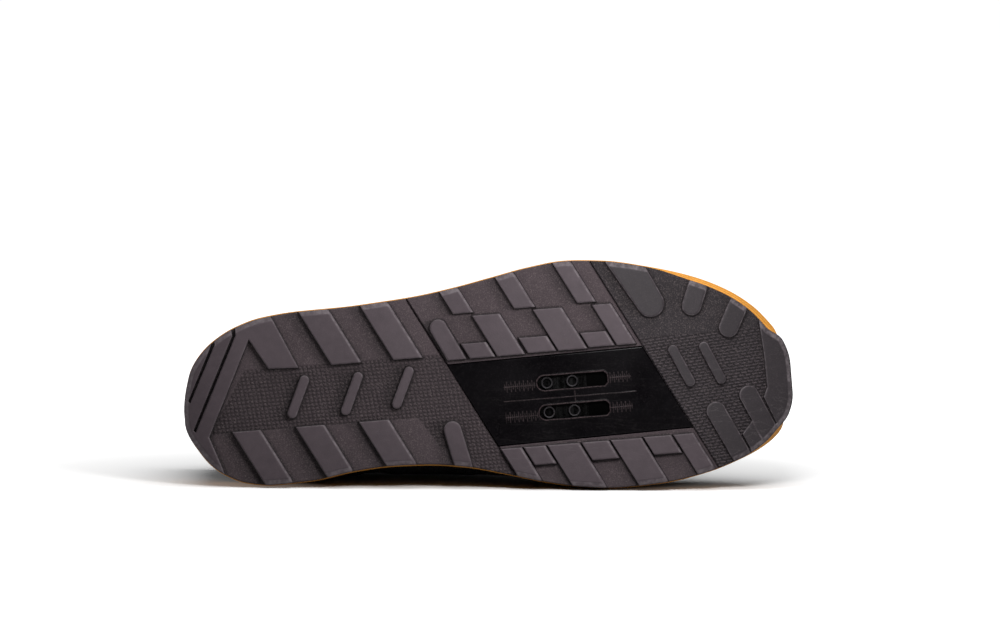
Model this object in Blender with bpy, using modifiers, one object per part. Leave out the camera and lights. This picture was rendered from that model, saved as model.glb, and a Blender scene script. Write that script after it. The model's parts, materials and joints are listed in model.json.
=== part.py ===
"""Right cycling shoe for two-bolt cleats, lying on its inner side.

Shoe space, used for every piece before the shoe is laid down: X runs from the heel back to the toe tip,
Y towards the inner side of the foot and Z up from the ground. Lengths are in metres.
Tables hold shares of the named sizes: places along the shoe are shares of LENGTH, places across it are
shares of BALL_WIDTH, and each height column says which height it follows.
"""

import math
from collections import namedtuple

import bmesh
import bpy
import numpy as np
from mathutils import Matrix, Vector
from mathutils.geometry import intersect_point_tri

# Driving sizes of the whole shoe
LENGTH = 0.2894
BALL_WIDTH = 0.1096
HEEL_HEIGHT = 0.095
INSTEP_HEIGHT = 0.110
HEEL_STACK = 0.024
TOE_SPRING = 0.016

# Clearance between pieces that meet
GAP = 0.0003

# Rubber and plate
LUG_HEIGHT = 0.003
SLIT_DEPTH = 0.0024
RUBBER = 0.0022
PLATE = 0.0018
GROOVE = 0.0013
SIPE = 0.0007
SLANT = 0.52
BUMPER_WALL = 0.002
BUMPER_HEIGHT = 0.013
BUMPER_FROM = 0.93
BUMPER_RISE = (0.90, 0.955)
BORDER = 0.0022
BORDER_FROM = 0.80
PILL_WIDTH = 0.0048
FINGER_WIDTH = 0.0086

# Midsole
RIM_HEIGHT = 0.007
RIM_WALL = 0.0025
RIM_LEAN = 0.002
RIB_DEPTH = 0.0006

# Cleat bolts: slots, bosses and the plate that carries them
SLOT_SPACING = 0.014
SLOT_WIDTH = 0.0064
SLOT_LENGTH = 0.033
BOLT_PITCH = 0.012
BOSS_DIAMETER = 0.0056
BOLT_BORE = 0.0042
NUT_PLATE = 0.002
NUT_MARGIN = 0.007

# Upper, tongue, insole and lace
UPPER_WALL = 0.002
COLLAR_PAD = 0.006
OVERLAY = 0.0008
TONGUE_PAD = 0.004
INSOLE = 0.003
EYELETS = 6
EYELET_BORE = 0.004
EYELET_REACH = 0.075
LACE_WIDTH = 0.006
LACE_THICKNESS = 0.0012

STATIONS = 32
WELD = 0.000002

# Density of each material in kg per cubic metre, for the balance of the shoe as it lies
DENSITY = {"rubber": 1200, "foam": 1100, "nylon": 1100, "steel": 7850, "cloth": 300, "synthetic": 900}

# Sole edge seen from below. The rim columns are how far the rubber stays inside the edge of the midsole.
Edge = namedtuple("Edge", "along outer inner outer_rim inner_rim")
EDGE = [
    Edge(0.000, -0.030, 0.058, 0.003, 0.003),
    Edge(0.007, 0.094, 0.132, 0.004, 0.004),
    Edge(0.016, 0.164, 0.174, 0.004, 0.005),
    Edge(0.038, 0.243, 0.255, 0.005, 0.006),
    Edge(0.060, 0.290, 0.302, 0.005, 0.006),
    Edge(0.095, 0.338, 0.344, 0.005, 0.006),
    Edge(0.140, 0.371, 0.362, 0.005, 0.006),
    Edge(0.200, 0.385, 0.358, 0.004, 0.006),
    Edge(0.275, 0.388, 0.331, 0.004, 0.006),
    Edge(0.330, 0.396, 0.322, 0.004, 0.006),
    Edge(0.390, 0.408, 0.328, 0.004, 0.006),
    Edge(0.455, 0.432, 0.351, 0.004, 0.006),
    Edge(0.520, 0.464, 0.395, 0.004, 0.005),
    Edge(0.580, 0.494, 0.441, 0.004, 0.005),
    Edge(0.640, 0.511, 0.475, 0.004, 0.005),
    Edge(0.705, 0.498, 0.493, 0.004, 0.005),
    Edge(0.775, 0.459, 0.487, 0.004, 0.005),
    Edge(0.850, 0.399, 0.455, 0.020, 0.004),
    Edge(0.905, 0.330, 0.410, 0.022, 0.004),
    Edge(0.945, 0.252, 0.363, 0.024, 0.011),
    Edge(0.972, 0.170, 0.310, 0.026, 0.018),
    Edge(0.990, 0.096, 0.236, 0.0015, 0.0015),
    Edge(1.000, -0.015, 0.135, 0.000, 0.000),
]

# Side view of the sole. Rise of the ground face follows TOE_SPRING, stack under the foot HEEL_STACK.
Level = namedtuple("Level", "along rise stack")
LEVELS = [
    Level(0.000, 0.38, 1.00),
    Level(0.020, 0.24, 1.00),
    Level(0.050, 0.10, 1.00),
    Level(0.100, 0.00, 1.00),
    Level(0.330, 0.00, 0.92),
    Level(0.430, 0.09, 0.84),
    Level(0.530, 0.00, 0.76),
    Level(0.700, 0.00, 0.68),
    Level(0.780, 0.07, 0.66),
    Level(0.850, 0.23, 0.64),
    Level(0.910, 0.45, 0.62),
    Level(0.955, 0.69, 0.60),
    Level(1.000, 1.00, 0.58),
]

# Side of the midsole from the rubber up. Out counts shares of the rim, groove shares of RIB_DEPTH,
# lean shares of RIM_LEAN, and up shares of the side's height.
Rib = namedtuple("Rib", "rim groove lean up")
RIBS = [
    Rib(1.00, 0, 0.00, 0.00),
    Rib(0.72, 0, 0.00, 0.08),
    Rib(0.68, 1, 0.00, 0.12),
    Rib(0.42, 0, 0.00, 0.16),
    Rib(0.30, 0, 0.00, 0.24),
    Rib(0.26, 1, 0.00, 0.28),
    Rib(0.10, 0, 0.00, 0.32),
    Rib(0.00, 0, 0.00, 0.42),
    Rib(0.00, 1, 0.06, 0.46),
    Rib(0.00, 0, 0.10, 0.50),
    Rib(0.00, 0, 0.42, 0.76),
    Rib(0.00, 0, 1.00, 1.00),
]

# Wall of the upper. Each row is one section, from the foot of the wall to its top edge: top, half and
# ridge place that edge, outer_up and inner_up are its height, stand, bulge, slope and reach bend the wall.
Section = namedtuple("Section", "foot top half ridge outer_up inner_up stand bulge slope reach")
COLLAR = [
    Section(0.000, 0.021, 0.020, 0.030, 1.000, 1.000, 0.40, 0.060, 84, 0.30),
    Section(0.010, 0.026, 0.105, 0.026, 1.000, 1.000, 0.40, 0.060, 84, 0.30),
    Section(0.030, 0.041, 0.180, 0.016, 0.990, 0.995, 0.40, 0.055, 84, 0.30),
    Section(0.060, 0.069, 0.240, 0.006, 0.960, 0.975, 0.40, 0.045, 84, 0.30),
    Section(0.105, 0.118, 0.278, 0.000, 0.905, 0.937, 0.40, 0.030, 82, 0.30),
    Section(0.175, 0.180, 0.298, 0.000, 0.855, 0.905, 0.40, 0.020, 80, 0.30),
    Section(0.260, 0.262, 0.290, 0.008, 0.860, 0.915, 0.40, 0.015, 76, 0.30),
    Section(0.330, 0.332, 0.255, 0.018, 0.965, 0.990, 0.40, 0.012, 68, 0.32),
]
THROAT = [
    Section(0.385, 0.387, 0.212, 0.028, 0.975, 0.985, 0.42, 0.012, 60, 0.33),
    Section(0.435, 0.430, 0.192, 0.033, 0.950, 0.950, 0.42, 0.012, 54, 0.34),
    Section(0.485, 0.477, 0.184, 0.038, 0.882, 0.882, 0.42, 0.014, 50, 0.34),
    Section(0.535, 0.529, 0.174, 0.042, 0.805, 0.805, 0.42, 0.018, 46, 0.35),
    Section(0.590, 0.577, 0.163, 0.044, 0.732, 0.732, 0.42, 0.022, 42, 0.36),
    Section(0.648, 0.629, 0.150, 0.042, 0.664, 0.664, 0.42, 0.026, 38, 0.38),
    Section(0.710, 0.674, 0.132, 0.038, 0.609, 0.609, 0.42, 0.026, 34, 0.40),
    Section(0.765, 0.701, 0.108, 0.036, 0.582, 0.582, 0.43, 0.024, 30, 0.42),
    Section(0.830, 0.715, 0.080, 0.036, 0.568, 0.568, 0.45, 0.022, 24, 0.44),
    Section(0.900, 0.722, 0.052, 0.036, 0.562, 0.562, 0.50, 0.020, 18, 0.48),
    Section(0.955, 0.725, 0.030, 0.037, 0.560, 0.560, 0.58, 0.018, 14, 0.52),
    Section(1.000, 0.726, 0.010, 0.038, 0.559, 0.559, 0.66, 0.016, 12, 0.55),
]

# Heights on the wall as shares of its section curve, and the edges of the overlays on it
TOE_CAP_TOP = 0.30
COUNTER_TOP = 0.46
EYESTAY_EDGE = 0.87
STEP = 0.014
TOE_CAP_FROM = 0.835
COUNTER_TO = 0.215
THROAT_FROM = 0.385
WALL_LEVELS = [0.10, 0.20, 0.38, 0.60, 0.74, 0.95]

# Tongue sections: place along the throat between its two ends, further in or out of it past 0 and 1
TONGUE_ROWS = [0.02, 0.14, 0.28, 0.42, 0.56, 0.70, 0.84, 0.96]
TONGUE_TIP = 0.030
TONGUE_TUCK = 0.012

# Straight lugs: start and end along the slanted rows, near and far across the shoe
Bar = namedtuple("Bar", "start end near far")
HEEL_BARS = [
    Bar(0.275, 0.328, -0.60, -0.140),
    Bar(0.377, 0.428, -0.60, -0.140),
    Bar(0.054, 0.104, 0.114, 0.60),
    Bar(0.158, 0.209, 0.114, 0.60),
    Bar(0.262, 0.315, 0.114, 0.60),
]
BALL_OUTER_BARS = [
    Bar(0.515, 0.552, -0.60, -0.317),
    Bar(0.498, 0.543, -0.187, -0.119),
    Bar(0.543, 0.592, -0.305, -0.119),
    Bar(0.616, 0.654, -0.60, -0.319),
    Bar(0.594, 0.644, -0.193, -0.122),
    Bar(0.644, 0.695, -0.310, -0.122),
    Bar(0.720, 0.754, -0.60, -0.321),
    Bar(0.695, 0.741, -0.193, -0.126),
    Bar(0.741, 0.776, -0.310, -0.126),
]
BALL_INNER_BARS = [
    Bar(0.456, 0.495, 0.280, 0.60),
    Bar(0.495, 0.534, 0.280, 0.363),
    Bar(0.534, 0.590, 0.280, 0.60),
    Bar(0.590, 0.638, 0.280, 0.362),
    Bar(0.638, 0.692, 0.280, 0.60),
    Bar(0.692, 0.741, 0.278, 0.360),
    Bar(0.741, 0.778, 0.278, 0.60),
]

# Round-ended lugs: two ends of the middle line, and the width at each as a share of FINGER_WIDTH
Finger = namedtuple("Finger", "along across to_along to_across width to_width")
HEEL_FINGERS = [
    Finger(0.438, 0.182, 0.473, 0.600, 1.00, 1.00),
]
BALL_FINGERS = [
    Finger(0.428, -0.263, 0.480, 0.020, 0.98, 0.98),
]
TOE_FINGERS = [
    Finger(0.7315, -0.529, 0.778, -0.295, 1.85, 1.53),
    Finger(0.872, -0.450, 0.845, -0.272, 1.12, 1.12),
    Finger(0.936, -0.330, 0.903, -0.165, 1.12, 1.12),
    Finger(0.871, 0.192, 0.912, 0.420, 1.08, 1.08),
    Finger(0.927, 0.134, 0.962, 0.340, 1.08, 1.08),
]

# Pills in the middle of heel and toe: their two tips
Pill = namedtuple("Pill", "along across to_along to_across")
HEEL_PILLS = [
    Pill(0.206, -0.104, 0.175, 0.075),
    Pill(0.294, -0.100, 0.263, 0.080),
    Pill(0.378, -0.106, 0.347, 0.070),
]
TOE_PILLS = [
    Pill(0.805, -0.108, 0.836, 0.076),
    Pill(0.856, -0.111, 0.887, 0.076),
]

# Corners of the lugs that follow no row: the heel border with its chevron, its two slits,
# the toe's corner block and the tread under the bumper
Corner = namedtuple("Corner", "along across")
HEEL_BORDER = [
    Corner(0.143, -0.450),
    Corner(0.195, -0.139),
    Corner(0.145, -0.145),
    Corner(0.117, -0.276),
    Corner(0.040, 0.130),
    Corner(0.066, 0.330),
    Corner(0.040, 0.450),
    Corner(-0.050, 0.450),
    Corner(-0.050, -0.450),
]
HEEL_SLITS = [
    [
        Corner(0.048, -0.330),
        Corner(0.056, -0.330),
        Corner(0.0605, -0.268),
        Corner(0.0125, -0.024),
        Corner(0.010, -0.034),
        Corner(0.0555, -0.270),
    ],
    [
        Corner(0.088, -0.420),
        Corner(0.094, -0.420),
        Corner(0.096, -0.302),
        Corner(0.018, 0.104),
        Corner(0.0145, 0.096),
        Corner(0.0905, -0.300),
    ],
]
TOE_BLOCK = [
    Corner(0.911, 0.300),
    Corner(0.929, 0.244),
    Corner(0.942, 0.320),
    Corner(0.961, 0.420),
    Corner(0.935, 0.440),
]
BUMPER_TREAD = [
    Corner(0.955, -0.300),
    Corner(0.953, -0.180),
    Corner(0.957, -0.036),
    Corner(0.958, 0.105),
    Corner(0.951, 0.148),
    Corner(0.968, 0.262),
    Corner(0.985, 0.330),
    Corner(1.050, 0.330),
    Corner(1.050, -0.300),
]

# Lines that part the rubber: two slanted splits, and the two sides of the window between them
HEEL_SPLIT = 0.4575
TOE_SPLIT = 0.7815
WINDOW_OUTER = (-0.103, -0.116)
WINDOW_INNER = (0.270, 0.256)
FAR = 0.75

# Middle of the cleat slots
SLOT_ALONG = 0.640
SLOT_ACROSS = 0.0755
BOLT_ALONG = 0.619


def smooth(places, values, where):
    """Cubic through a table's rows, with slopes that never overshoot a row."""
    places = np.asarray(places, float)
    values = np.asarray(values, float)
    steps = np.diff(places)
    rates = np.diff(values) / steps
    slopes = np.empty_like(values)
    slopes[0] = rates[0]
    slopes[-1] = rates[-1]
    product = rates[:-1] * rates[1:]
    total = rates[:-1] + rates[1:]
    slopes[1:-1] = np.where(product > 0, 2 * product / np.where(product > 0, total, 1), 0)
    where = np.asarray(where, float)
    index = np.clip(np.searchsorted(places, where) - 1, 0, len(steps) - 1)
    step = steps[index]
    share = np.clip((where - places[index]) / step, 0, 1)
    rest = 1 - share
    start = (1 + 2 * share) * rest**2 * values[index] + share * rest**2 * step * slopes[index]
    end = share**2 * (3 - 2 * share) * values[index + 1] - share**2 * rest * step * slopes[index + 1]
    return start + end


def column(table, name):
    """One named column of a table."""
    return np.array([getattr(row, name) for row in table], float)


def turn_of(along):
    """Turn that runs evenly from 0 at the heel to 1 at the toe round both ends, from a share of LENGTH."""
    return np.arccos(1 - 2 * np.clip(along, 0, 1)) / np.pi


def place_of(turn):
    """Distance from the heel back at a turn."""
    return LENGTH * (1 - np.cos(np.pi * np.asarray(turn, float))) / 2


EDGE_TURNS = turn_of(column(EDGE, "along"))
EVEN_TURNS = np.linspace(0, 1, STATIONS + 1)


def half_width(turn, side):
    """Distance of the sole edge from the middle line, on the outer side (-1) or the inner side (1)."""
    outer = smooth(EDGE_TURNS, column(EDGE, "outer"), turn)
    inner = smooth(EDGE_TURNS, column(EDGE, "inner"), turn)
    return BALL_WIDTH * np.where(side < 0, outer, inner)


def rim(turn, side):
    """How far the rubber stays inside the sole edge."""
    outer = smooth(EDGE_TURNS, column(EDGE, "outer_rim"), turn)
    inner = smooth(EDGE_TURNS, column(EDGE, "inner_rim"), turn)
    return BALL_WIDTH * np.where(side < 0, outer, inner)


def bumper_share(turn):
    """Share of the toe bumper's wall, rising from 0 beside the toe to 1 at its front."""
    start, full = BUMPER_RISE
    share = np.clip((turn - start) / (full - start), 0, 1)
    return share**2 * (3 - 2 * share)


def bumper_room(turn):
    """How far the midsole stays inside the sole edge to leave room for the bumper."""
    return (BUMPER_WALL + GAP) * bumper_share(turn)


def edge_points(turn, side, inset):
    """Points of the sole edge, moved inwards square to it by inset. Returns points and outward directions."""
    probe = 0.004
    before = np.clip(turn - probe, 0, 1)
    after = np.clip(turn + probe, 0, 1)
    run = np.stack([place_of(after) - place_of(before), side * (half_width(after, side) - half_width(before, side))])
    run = run / np.hypot(run[0], run[1])
    outward = np.stack([-side * run[1], side * run[0]], axis=1)
    points = np.stack([place_of(turn), side * half_width(turn, side)], axis=1)
    return points - outward * np.asarray(inset)[:, None], outward


def loop_of(turns):
    """Turns and sides of one closed loop: the outer side from heel to toe, then the inner side back."""
    turns = np.asarray(turns, float)
    turn = np.concatenate([turns, turns[::-1]])
    side = np.concatenate([-np.ones(len(turns)), np.ones(len(turns))])
    return turn, side


def rise(x):
    """Height of the ground face, straight between the even stations so that stacked pieces stay parallel."""
    places = place_of(EVEN_TURNS)
    heights = TOE_SPRING * smooth(column(LEVELS, "along"), column(LEVELS, "rise"), places / LENGTH)
    return np.interp(x, places, heights)


def footbed(x):
    """Height of the footbed above the ground."""
    share = np.clip(np.asarray(x) / LENGTH, 0, 1)
    return rise(x) + HEEL_STACK * smooth(column(LEVELS, "along"), column(LEVELS, "stack"), share)


def sole_top():
    """Height of the rubber's upper face before the toe spring is added."""
    return LUG_HEIGHT + RUBBER


def with_height(points, heights):
    """Points on the plan with their heights."""
    return np.column_stack([points, heights])


def ring_faces(rings, length):
    """Faces between rings of equal length, each ring joined to the next."""
    faces = []
    for ring in range(rings - 1):
        for i in range(length):
            j = (i + 1) % length
            low = ring * length
            high = low + length
            faces.append((low + i, low + j, high + j, high + i))
    return faces


def strip_faces(first, length):
    """Faces across a loop, from its outer side to its inner side."""
    faces = []
    for i in range(length // 2 - 1):
        faces.append((first + i, first + i + 1, first + length - 2 - i, first + length - 1 - i))
    return faces


def mesh_of(name, points, faces):
    """Mesh from points and faces."""
    mesh = bpy.data.meshes.new(name)
    mesh.from_pydata([tuple(point) for point in points], [], faces)
    mesh.update()
    return mesh


def tidy(mesh):
    """Welds a mesh, drops empty faces, leaves triangles and turns the faces outwards."""
    shape = bmesh.new()
    shape.from_mesh(mesh)
    bmesh.ops.remove_doubles(shape, verts=shape.verts, dist=WELD)
    bmesh.ops.dissolve_degenerate(shape, edges=shape.edges, dist=WELD)
    bmesh.ops.triangulate(shape, faces=shape.faces)
    bmesh.ops.recalc_face_normals(shape, faces=shape.faces)
    shape.to_mesh(mesh)
    shape.free()
    mesh.update()


def collection(name):
    """New collection linked to the scene."""
    group = bpy.data.collections.new(name)
    bpy.context.scene.collection.children.link(group)
    return group


def material(name, colour, roughness, metallic=0.0):
    """Principled material."""
    result = bpy.data.materials.new(name)
    result.use_nodes = True
    shader = result.node_tree.nodes["Principled BSDF"]
    shader.inputs["Base Color"].default_value = (*colour, 1)
    shader.inputs["Roughness"].default_value = roughness
    shader.inputs["Metallic"].default_value = metallic
    result.diffuse_color = (*colour, 1)
    return result


def finished(item):
    """New mesh of an object with its modifiers."""
    bpy.context.view_layer.update()
    return bpy.data.meshes.new_from_object(item.evaluated_get(bpy.context.evaluated_depsgraph_get()))


def guide(name, mesh):
    """Cutter or guide object, which is not a piece of the shoe."""
    result = bpy.data.objects.new(name, mesh)
    result.hide_render = True
    result.display_type = "WIRE"
    bpy.data.collections["cutters"].objects.link(result)
    return result


def prism(name, outlines, low, high):
    """Flat outlines filled and extruded between two heights, as one closed guide mesh."""
    curve = bpy.data.curves.new(name, "CURVE")
    curve.dimensions = "2D"
    curve.fill_mode = "BOTH"
    curve.extrude = (high - low) / 2
    for outline in outlines:
        spline = curve.splines.new("POLY")
        spline.points.add(len(outline) - 1)
        for point, (x, y) in zip(spline.points, outline):
            point.co = (x, y, 0, 1)
        spline.use_cyclic_u = True
    flat = guide(name + "_outline", curve)
    flat.location.z = (low + high) / 2
    mesh = finished(flat)
    mesh.transform(flat.matrix_world)
    bpy.data.objects.remove(flat)
    tidy(mesh)
    return guide(name, mesh)


def carve(body, cutter, operation):
    """Boolean of a body with a cutter, applied to its mesh."""
    modifier = body.modifiers.new(operation, "BOOLEAN")
    modifier.operation = operation
    modifier.solver = "EXACT"
    modifier.object = cutter
    mesh = finished(body)
    body.modifiers.clear()
    body.data = mesh
    tidy(mesh)


def bar_outline(bar):
    """Four corners of a straight lug, its sides along the slant of the rows."""
    start = bar.start * LENGTH + SIPE / 2
    end = bar.end * LENGTH - SIPE / 2
    near = bar.near * BALL_WIDTH
    far = bar.far * BALL_WIDTH
    lean_near = SLANT * near
    lean_far = SLANT * far
    return [(start + lean_near, near), (end + lean_near, near), (end + lean_far, far), (start + lean_far, far)]


def round_outline(start, end, width, to_width, sides=6):
    """Outline with round ends about a middle line between two points, with a width at each."""
    run = math.atan2(end[1] - start[1], end[0] - start[0])
    points = []
    for centre, across, turn in ((end, to_width, run - math.pi / 2), (start, width, run + math.pi / 2)):
        for step in range(sides + 1):
            angle = turn + math.pi * step / sides
            points.append((centre[0] + across / 2 * math.cos(angle), centre[1] + across / 2 * math.sin(angle)))
    return points


def finger_outline(finger):
    """Outline of a finger lug."""
    start = (finger.along * LENGTH, finger.across * BALL_WIDTH)
    end = (finger.to_along * LENGTH, finger.to_across * BALL_WIDTH)
    return round_outline(start, end, finger.width * FINGER_WIDTH, finger.to_width * FINGER_WIDTH)


def pill_outline(pill):
    """Outline of a pill, whose tips are the table's two points."""
    start = Vector((pill.along * LENGTH, pill.across * BALL_WIDTH))
    end = Vector((pill.to_along * LENGTH, pill.to_across * BALL_WIDTH))
    inset = (end - start).normalized() * PILL_WIDTH / 2
    return round_outline(start + inset, end - inset, PILL_WIDTH, PILL_WIDTH)


def corner_outline(corners):
    """Outline from a table of corners."""
    return [(corner.along * LENGTH, corner.across * BALL_WIDTH) for corner in corners]


def on_row(place, across):
    """Point on a slanted line, from its place on the middle line and its share across."""
    return (place + SLANT * across * BALL_WIDTH, across * BALL_WIDTH)


def rubber_edge():
    """Plan outline of the rubber."""
    turn, side = loop_of(EVEN_TURNS)
    points, _ = edge_points(turn, side, rim(turn, side))
    return [tuple(point) for point in points]


def split_places():
    """Front and rear sides of the two splits, as places on the middle line."""
    heel = HEEL_SPLIT * LENGTH
    toe = TOE_SPLIT * LENGTH
    return heel - GROOVE / 2, heel + GROOVE / 2, toe - GROOVE / 2, toe + GROOVE / 2


def bend(mesh):
    """Cuts a flat mesh at the stations and lifts it along the rise of the ground face."""
    shape = bmesh.new()
    shape.from_mesh(mesh)
    for place in place_of(EVEN_TURNS):
        geometry = shape.verts[:] + shape.edges[:] + shape.faces[:]
        bmesh.ops.bisect_plane(shape, geom=geometry, dist=WELD, plane_co=(place, 0, 0), plane_no=(1, 0, 0))
    for vertex in shape.verts:
        vertex.co.z += float(rise(vertex.co.x))
    shape.to_mesh(mesh)
    shape.free()
    tidy(mesh)


def rubber_section(name, region, groups, slits=()):
    """Rubber sheet with its lugs, cut to a region of the sole and to the sole's outline."""
    blank = box_outline((-LENGTH, -BALL_WIDTH), (2 * LENGTH, BALL_WIDTH))
    sheet = prism(name + "_sheet", [blank], LUG_HEIGHT, sole_top())
    for index, outlines in enumerate(groups):
        lugs = prism(f"{name}_lugs_{index}", outlines, 0, LUG_HEIGHT + RUBBER / 2)
        carve(sheet, lugs, "UNION")
    if slits:
        carve(sheet, prism(name + "_slits", slits, -LUG_HEIGHT, SLIT_DEPTH), "DIFFERENCE")
    carve(sheet, prism(name + "_region", [region], -LUG_HEIGHT, 2 * sole_top()), "INTERSECT")
    carve(sheet, prism(name + "_edge", [rubber_edge()], -LUG_HEIGHT, 2 * sole_top()), "INTERSECT")
    return sheet


def outsole_heel():
    """Heel section, from the heel back to the first split."""
    before, _, _, _ = split_places()
    region = [(-FAR * LENGTH, -FAR * BALL_WIDTH), on_row(before, -FAR), on_row(before, FAR)]
    region.append((-FAR * LENGTH, FAR * BALL_WIDTH))
    lugs = [bar_outline(bar) for bar in HEEL_BARS]
    lugs += [finger_outline(finger) for finger in HEEL_FINGERS]
    lugs += [pill_outline(pill) for pill in HEEL_PILLS]
    lugs.append(corner_outline(HEEL_BORDER))
    slits = [corner_outline(slit) for slit in HEEL_SLITS]
    sheet = rubber_section("outsole_heel", region, [lugs], slits)
    bend(sheet.data)
    return sheet.data


def outsole_ball_outer():
    """Strip of rubber between the splits on the outer side."""
    _, start, end, _ = split_places()
    rear, front = WINDOW_OUTER
    region = [on_row(start, -FAR), on_row(end, -FAR), on_row(end, front), on_row(start, rear)]
    lugs = [bar_outline(bar) for bar in BALL_OUTER_BARS]
    lugs += [finger_outline(finger) for finger in BALL_FINGERS]
    sheet = rubber_section("outsole_ball_outer", region, [lugs])
    bend(sheet.data)
    return sheet.data


def outsole_ball_inner():
    """Strip of rubber between the splits on the inner side."""
    _, start, end, _ = split_places()
    rear, front = WINDOW_INNER
    region = [on_row(start, rear), on_row(end, front), on_row(end, FAR), on_row(start, FAR)]
    sheet = rubber_section("outsole_ball_inner", region, [[bar_outline(bar) for bar in BALL_INNER_BARS]])
    bend(sheet.data)
    return sheet.data


def bumper_outline():
    """Plan of the wall that wraps up the toe front, its inner face clear of the midsole."""
    turns = EVEN_TURNS[EVEN_TURNS > BUMPER_FROM]
    turn, side = loop_of(turns)
    outer, _ = edge_points(turn, side, rim(turn, side))
    inner, _ = edge_points(turn, side, bumper_room(turn) - GAP)
    return [tuple(point) for point in outer] + [tuple(point) for point in inner[::-1]]


def border_outline():
    """Plan of the raised band that joins the ends of the inner toe lugs along the rubber's edge."""
    turn = EVEN_TURNS[EVEN_TURNS > BORDER_FROM]
    side = np.ones_like(turn)
    outer, _ = edge_points(turn, side, rim(turn, side) - BORDER / 2)
    inner, _ = edge_points(turn, side, rim(turn, side) + BORDER)
    return [tuple(point) for point in outer] + [tuple(point) for point in inner[::-1]]


def outsole_toe():
    """Toe section, from the second split, with the bumper up the toe front."""
    _, _, _, after = split_places()
    region = [on_row(after, -FAR), (2 * LENGTH, -FAR * BALL_WIDTH), (2 * LENGTH, FAR * BALL_WIDTH), on_row(after, FAR)]
    lugs = [finger_outline(finger) for finger in TOE_FINGERS]
    lugs += [pill_outline(pill) for pill in TOE_PILLS]
    lugs.append(corner_outline(BUMPER_TREAD))
    sheet = rubber_section("outsole_toe", region, [lugs, [corner_outline(TOE_BLOCK)], [border_outline()]])
    bumper = prism("bumper", [bumper_outline()], LUG_HEIGHT, sole_top() + BUMPER_HEIGHT)
    carve(sheet, bumper, "UNION")
    bend(sheet.data)
    return sheet.data


def window_outline(clear):
    """Outline of the window between the rubber strips, smaller by a clearance."""
    _, start, end, _ = split_places()
    lean = math.hypot(1, SLANT)
    start -= GROOVE / 2 - clear * lean
    end += GROOVE / 2 - clear * lean
    step = clear / BALL_WIDTH
    outer_rear, outer_front = WINDOW_OUTER
    inner_rear, inner_front = WINDOW_INNER
    return [
        on_row(start, outer_rear + step),
        on_row(end, outer_front + step),
        on_row(end, inner_front - step),
        on_row(start, inner_rear - step),
    ]


def slot_centres():
    """Middle of each cleat slot on the plan."""
    middle = SLOT_ACROSS * BALL_WIDTH
    return [(SLOT_ALONG * LENGTH, middle + share * SLOT_SPACING) for share in (-0.5, 0.5)]


def boss_centres():
    """Middle of each threaded boss on the plan."""
    centres = []
    for _, across in slot_centres():
        for share in (-0.5, 0.5):
            centres.append((BOLT_ALONG * LENGTH + share * BOLT_PITCH, across))
    return centres


def cleat_plate():
    """Plate in the window, with its two slots."""
    body = prism("cleat_plate_body", [window_outline(GAP)], sole_top() - PLATE, sole_top())
    reach = (SLOT_LENGTH - SLOT_WIDTH) / 2
    slots = [round_outline((x - reach, y), (x + reach, y), SLOT_WIDTH, SLOT_WIDTH) for x, y in slot_centres()]
    carve(body, prism("cleat_slots", slots, 0, 2 * sole_top()), "DIFFERENCE")
    bend(body.data)
    return body.data


def nut_plate_box():
    """Low and high corners of the nut plate on the plan."""
    across = [y for _, y in boss_centres()]
    along = [x for x, _ in boss_centres()]
    low = (min(along) - NUT_MARGIN, min(across) - NUT_MARGIN)
    high = (max(along) + NUT_MARGIN, max(across) + NUT_MARGIN)
    return low, high


def box_outline(low, high, room=0.0):
    """Rectangle between two corners, wider by room all round."""
    return [
        (low[0] - room, low[1] - room),
        (high[0] + room, low[1] - room),
        (high[0] + room, high[1] + room),
        (low[0] - room, high[1] + room),
    ]


def circle_outline(centre, diameter, sides):
    """Circle as a polygon."""
    angles = [math.tau * (step + 0.5) / sides for step in range(sides)]
    radius = diameter / 2
    return [(centre[0] + radius * math.cos(angle), centre[1] + radius * math.sin(angle)) for angle in angles]


def cleat_nut_plate():
    """Steel plate above the cleat plate, with its threaded bosses down in the slots."""
    low, high = nut_plate_box()
    base = sole_top() + GAP
    body = prism("nut_plate_body", [box_outline(low, high)], base, base + NUT_PLATE)
    bosses = [circle_outline(centre, BOSS_DIAMETER, 12) for centre in boss_centres()]
    carve(body, prism("bosses", bosses, sole_top() - PLATE, base + NUT_PLATE / 2), "UNION")
    bores = [circle_outline(centre, BOLT_BORE, 12) for centre in boss_centres()]
    carve(body, prism("bolt_bores", bores, 0, 2 * base), "DIFFERENCE")
    return body.data


def midsole_low(x):
    """Height of the midsole's underside."""
    return rise(x) + sole_top() + GAP


def midsole():
    """Cup sole: ribbed side, rim, inner wall and footbed, with a pocket for the nut plate."""
    turn, side = loop_of(EVEN_TURNS)
    count = len(turn)
    room = bumper_room(turn)
    rings = []
    for rib in RIBS:
        inset = room + rib.rim * rim(turn, side) + rib.groove * RIB_DEPTH + rib.lean * RIM_LEAN
        points, _ = edge_points(turn, side, inset)
        low = midsole_low(points[:, 0])
        high = footbed(points[:, 0]) + RIM_HEIGHT
        rings.append(with_height(points, low + rib.up * (high - low)))
    points, _ = edge_points(turn, side, room + RIM_LEAN + RIM_WALL)
    bed = footbed(points[:, 0])
    rings.append(with_height(points, bed + RIM_HEIGHT))
    rings.append(with_height(points, bed))
    faces = ring_faces(len(rings), count)
    faces += strip_faces(0, count)
    faces += strip_faces((len(rings) - 1) * count, count)
    mesh = mesh_of("midsole", np.concatenate(rings), faces)
    tidy(mesh)
    body = guide("midsole_body", mesh)
    low, high = nut_plate_box()
    depth = sole_top() + GAP + NUT_PLATE + GAP
    carve(body, prism("nut_pocket", [box_outline(low, high, GAP)], 0, depth), "DIFFERENCE")
    return body.data


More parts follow.
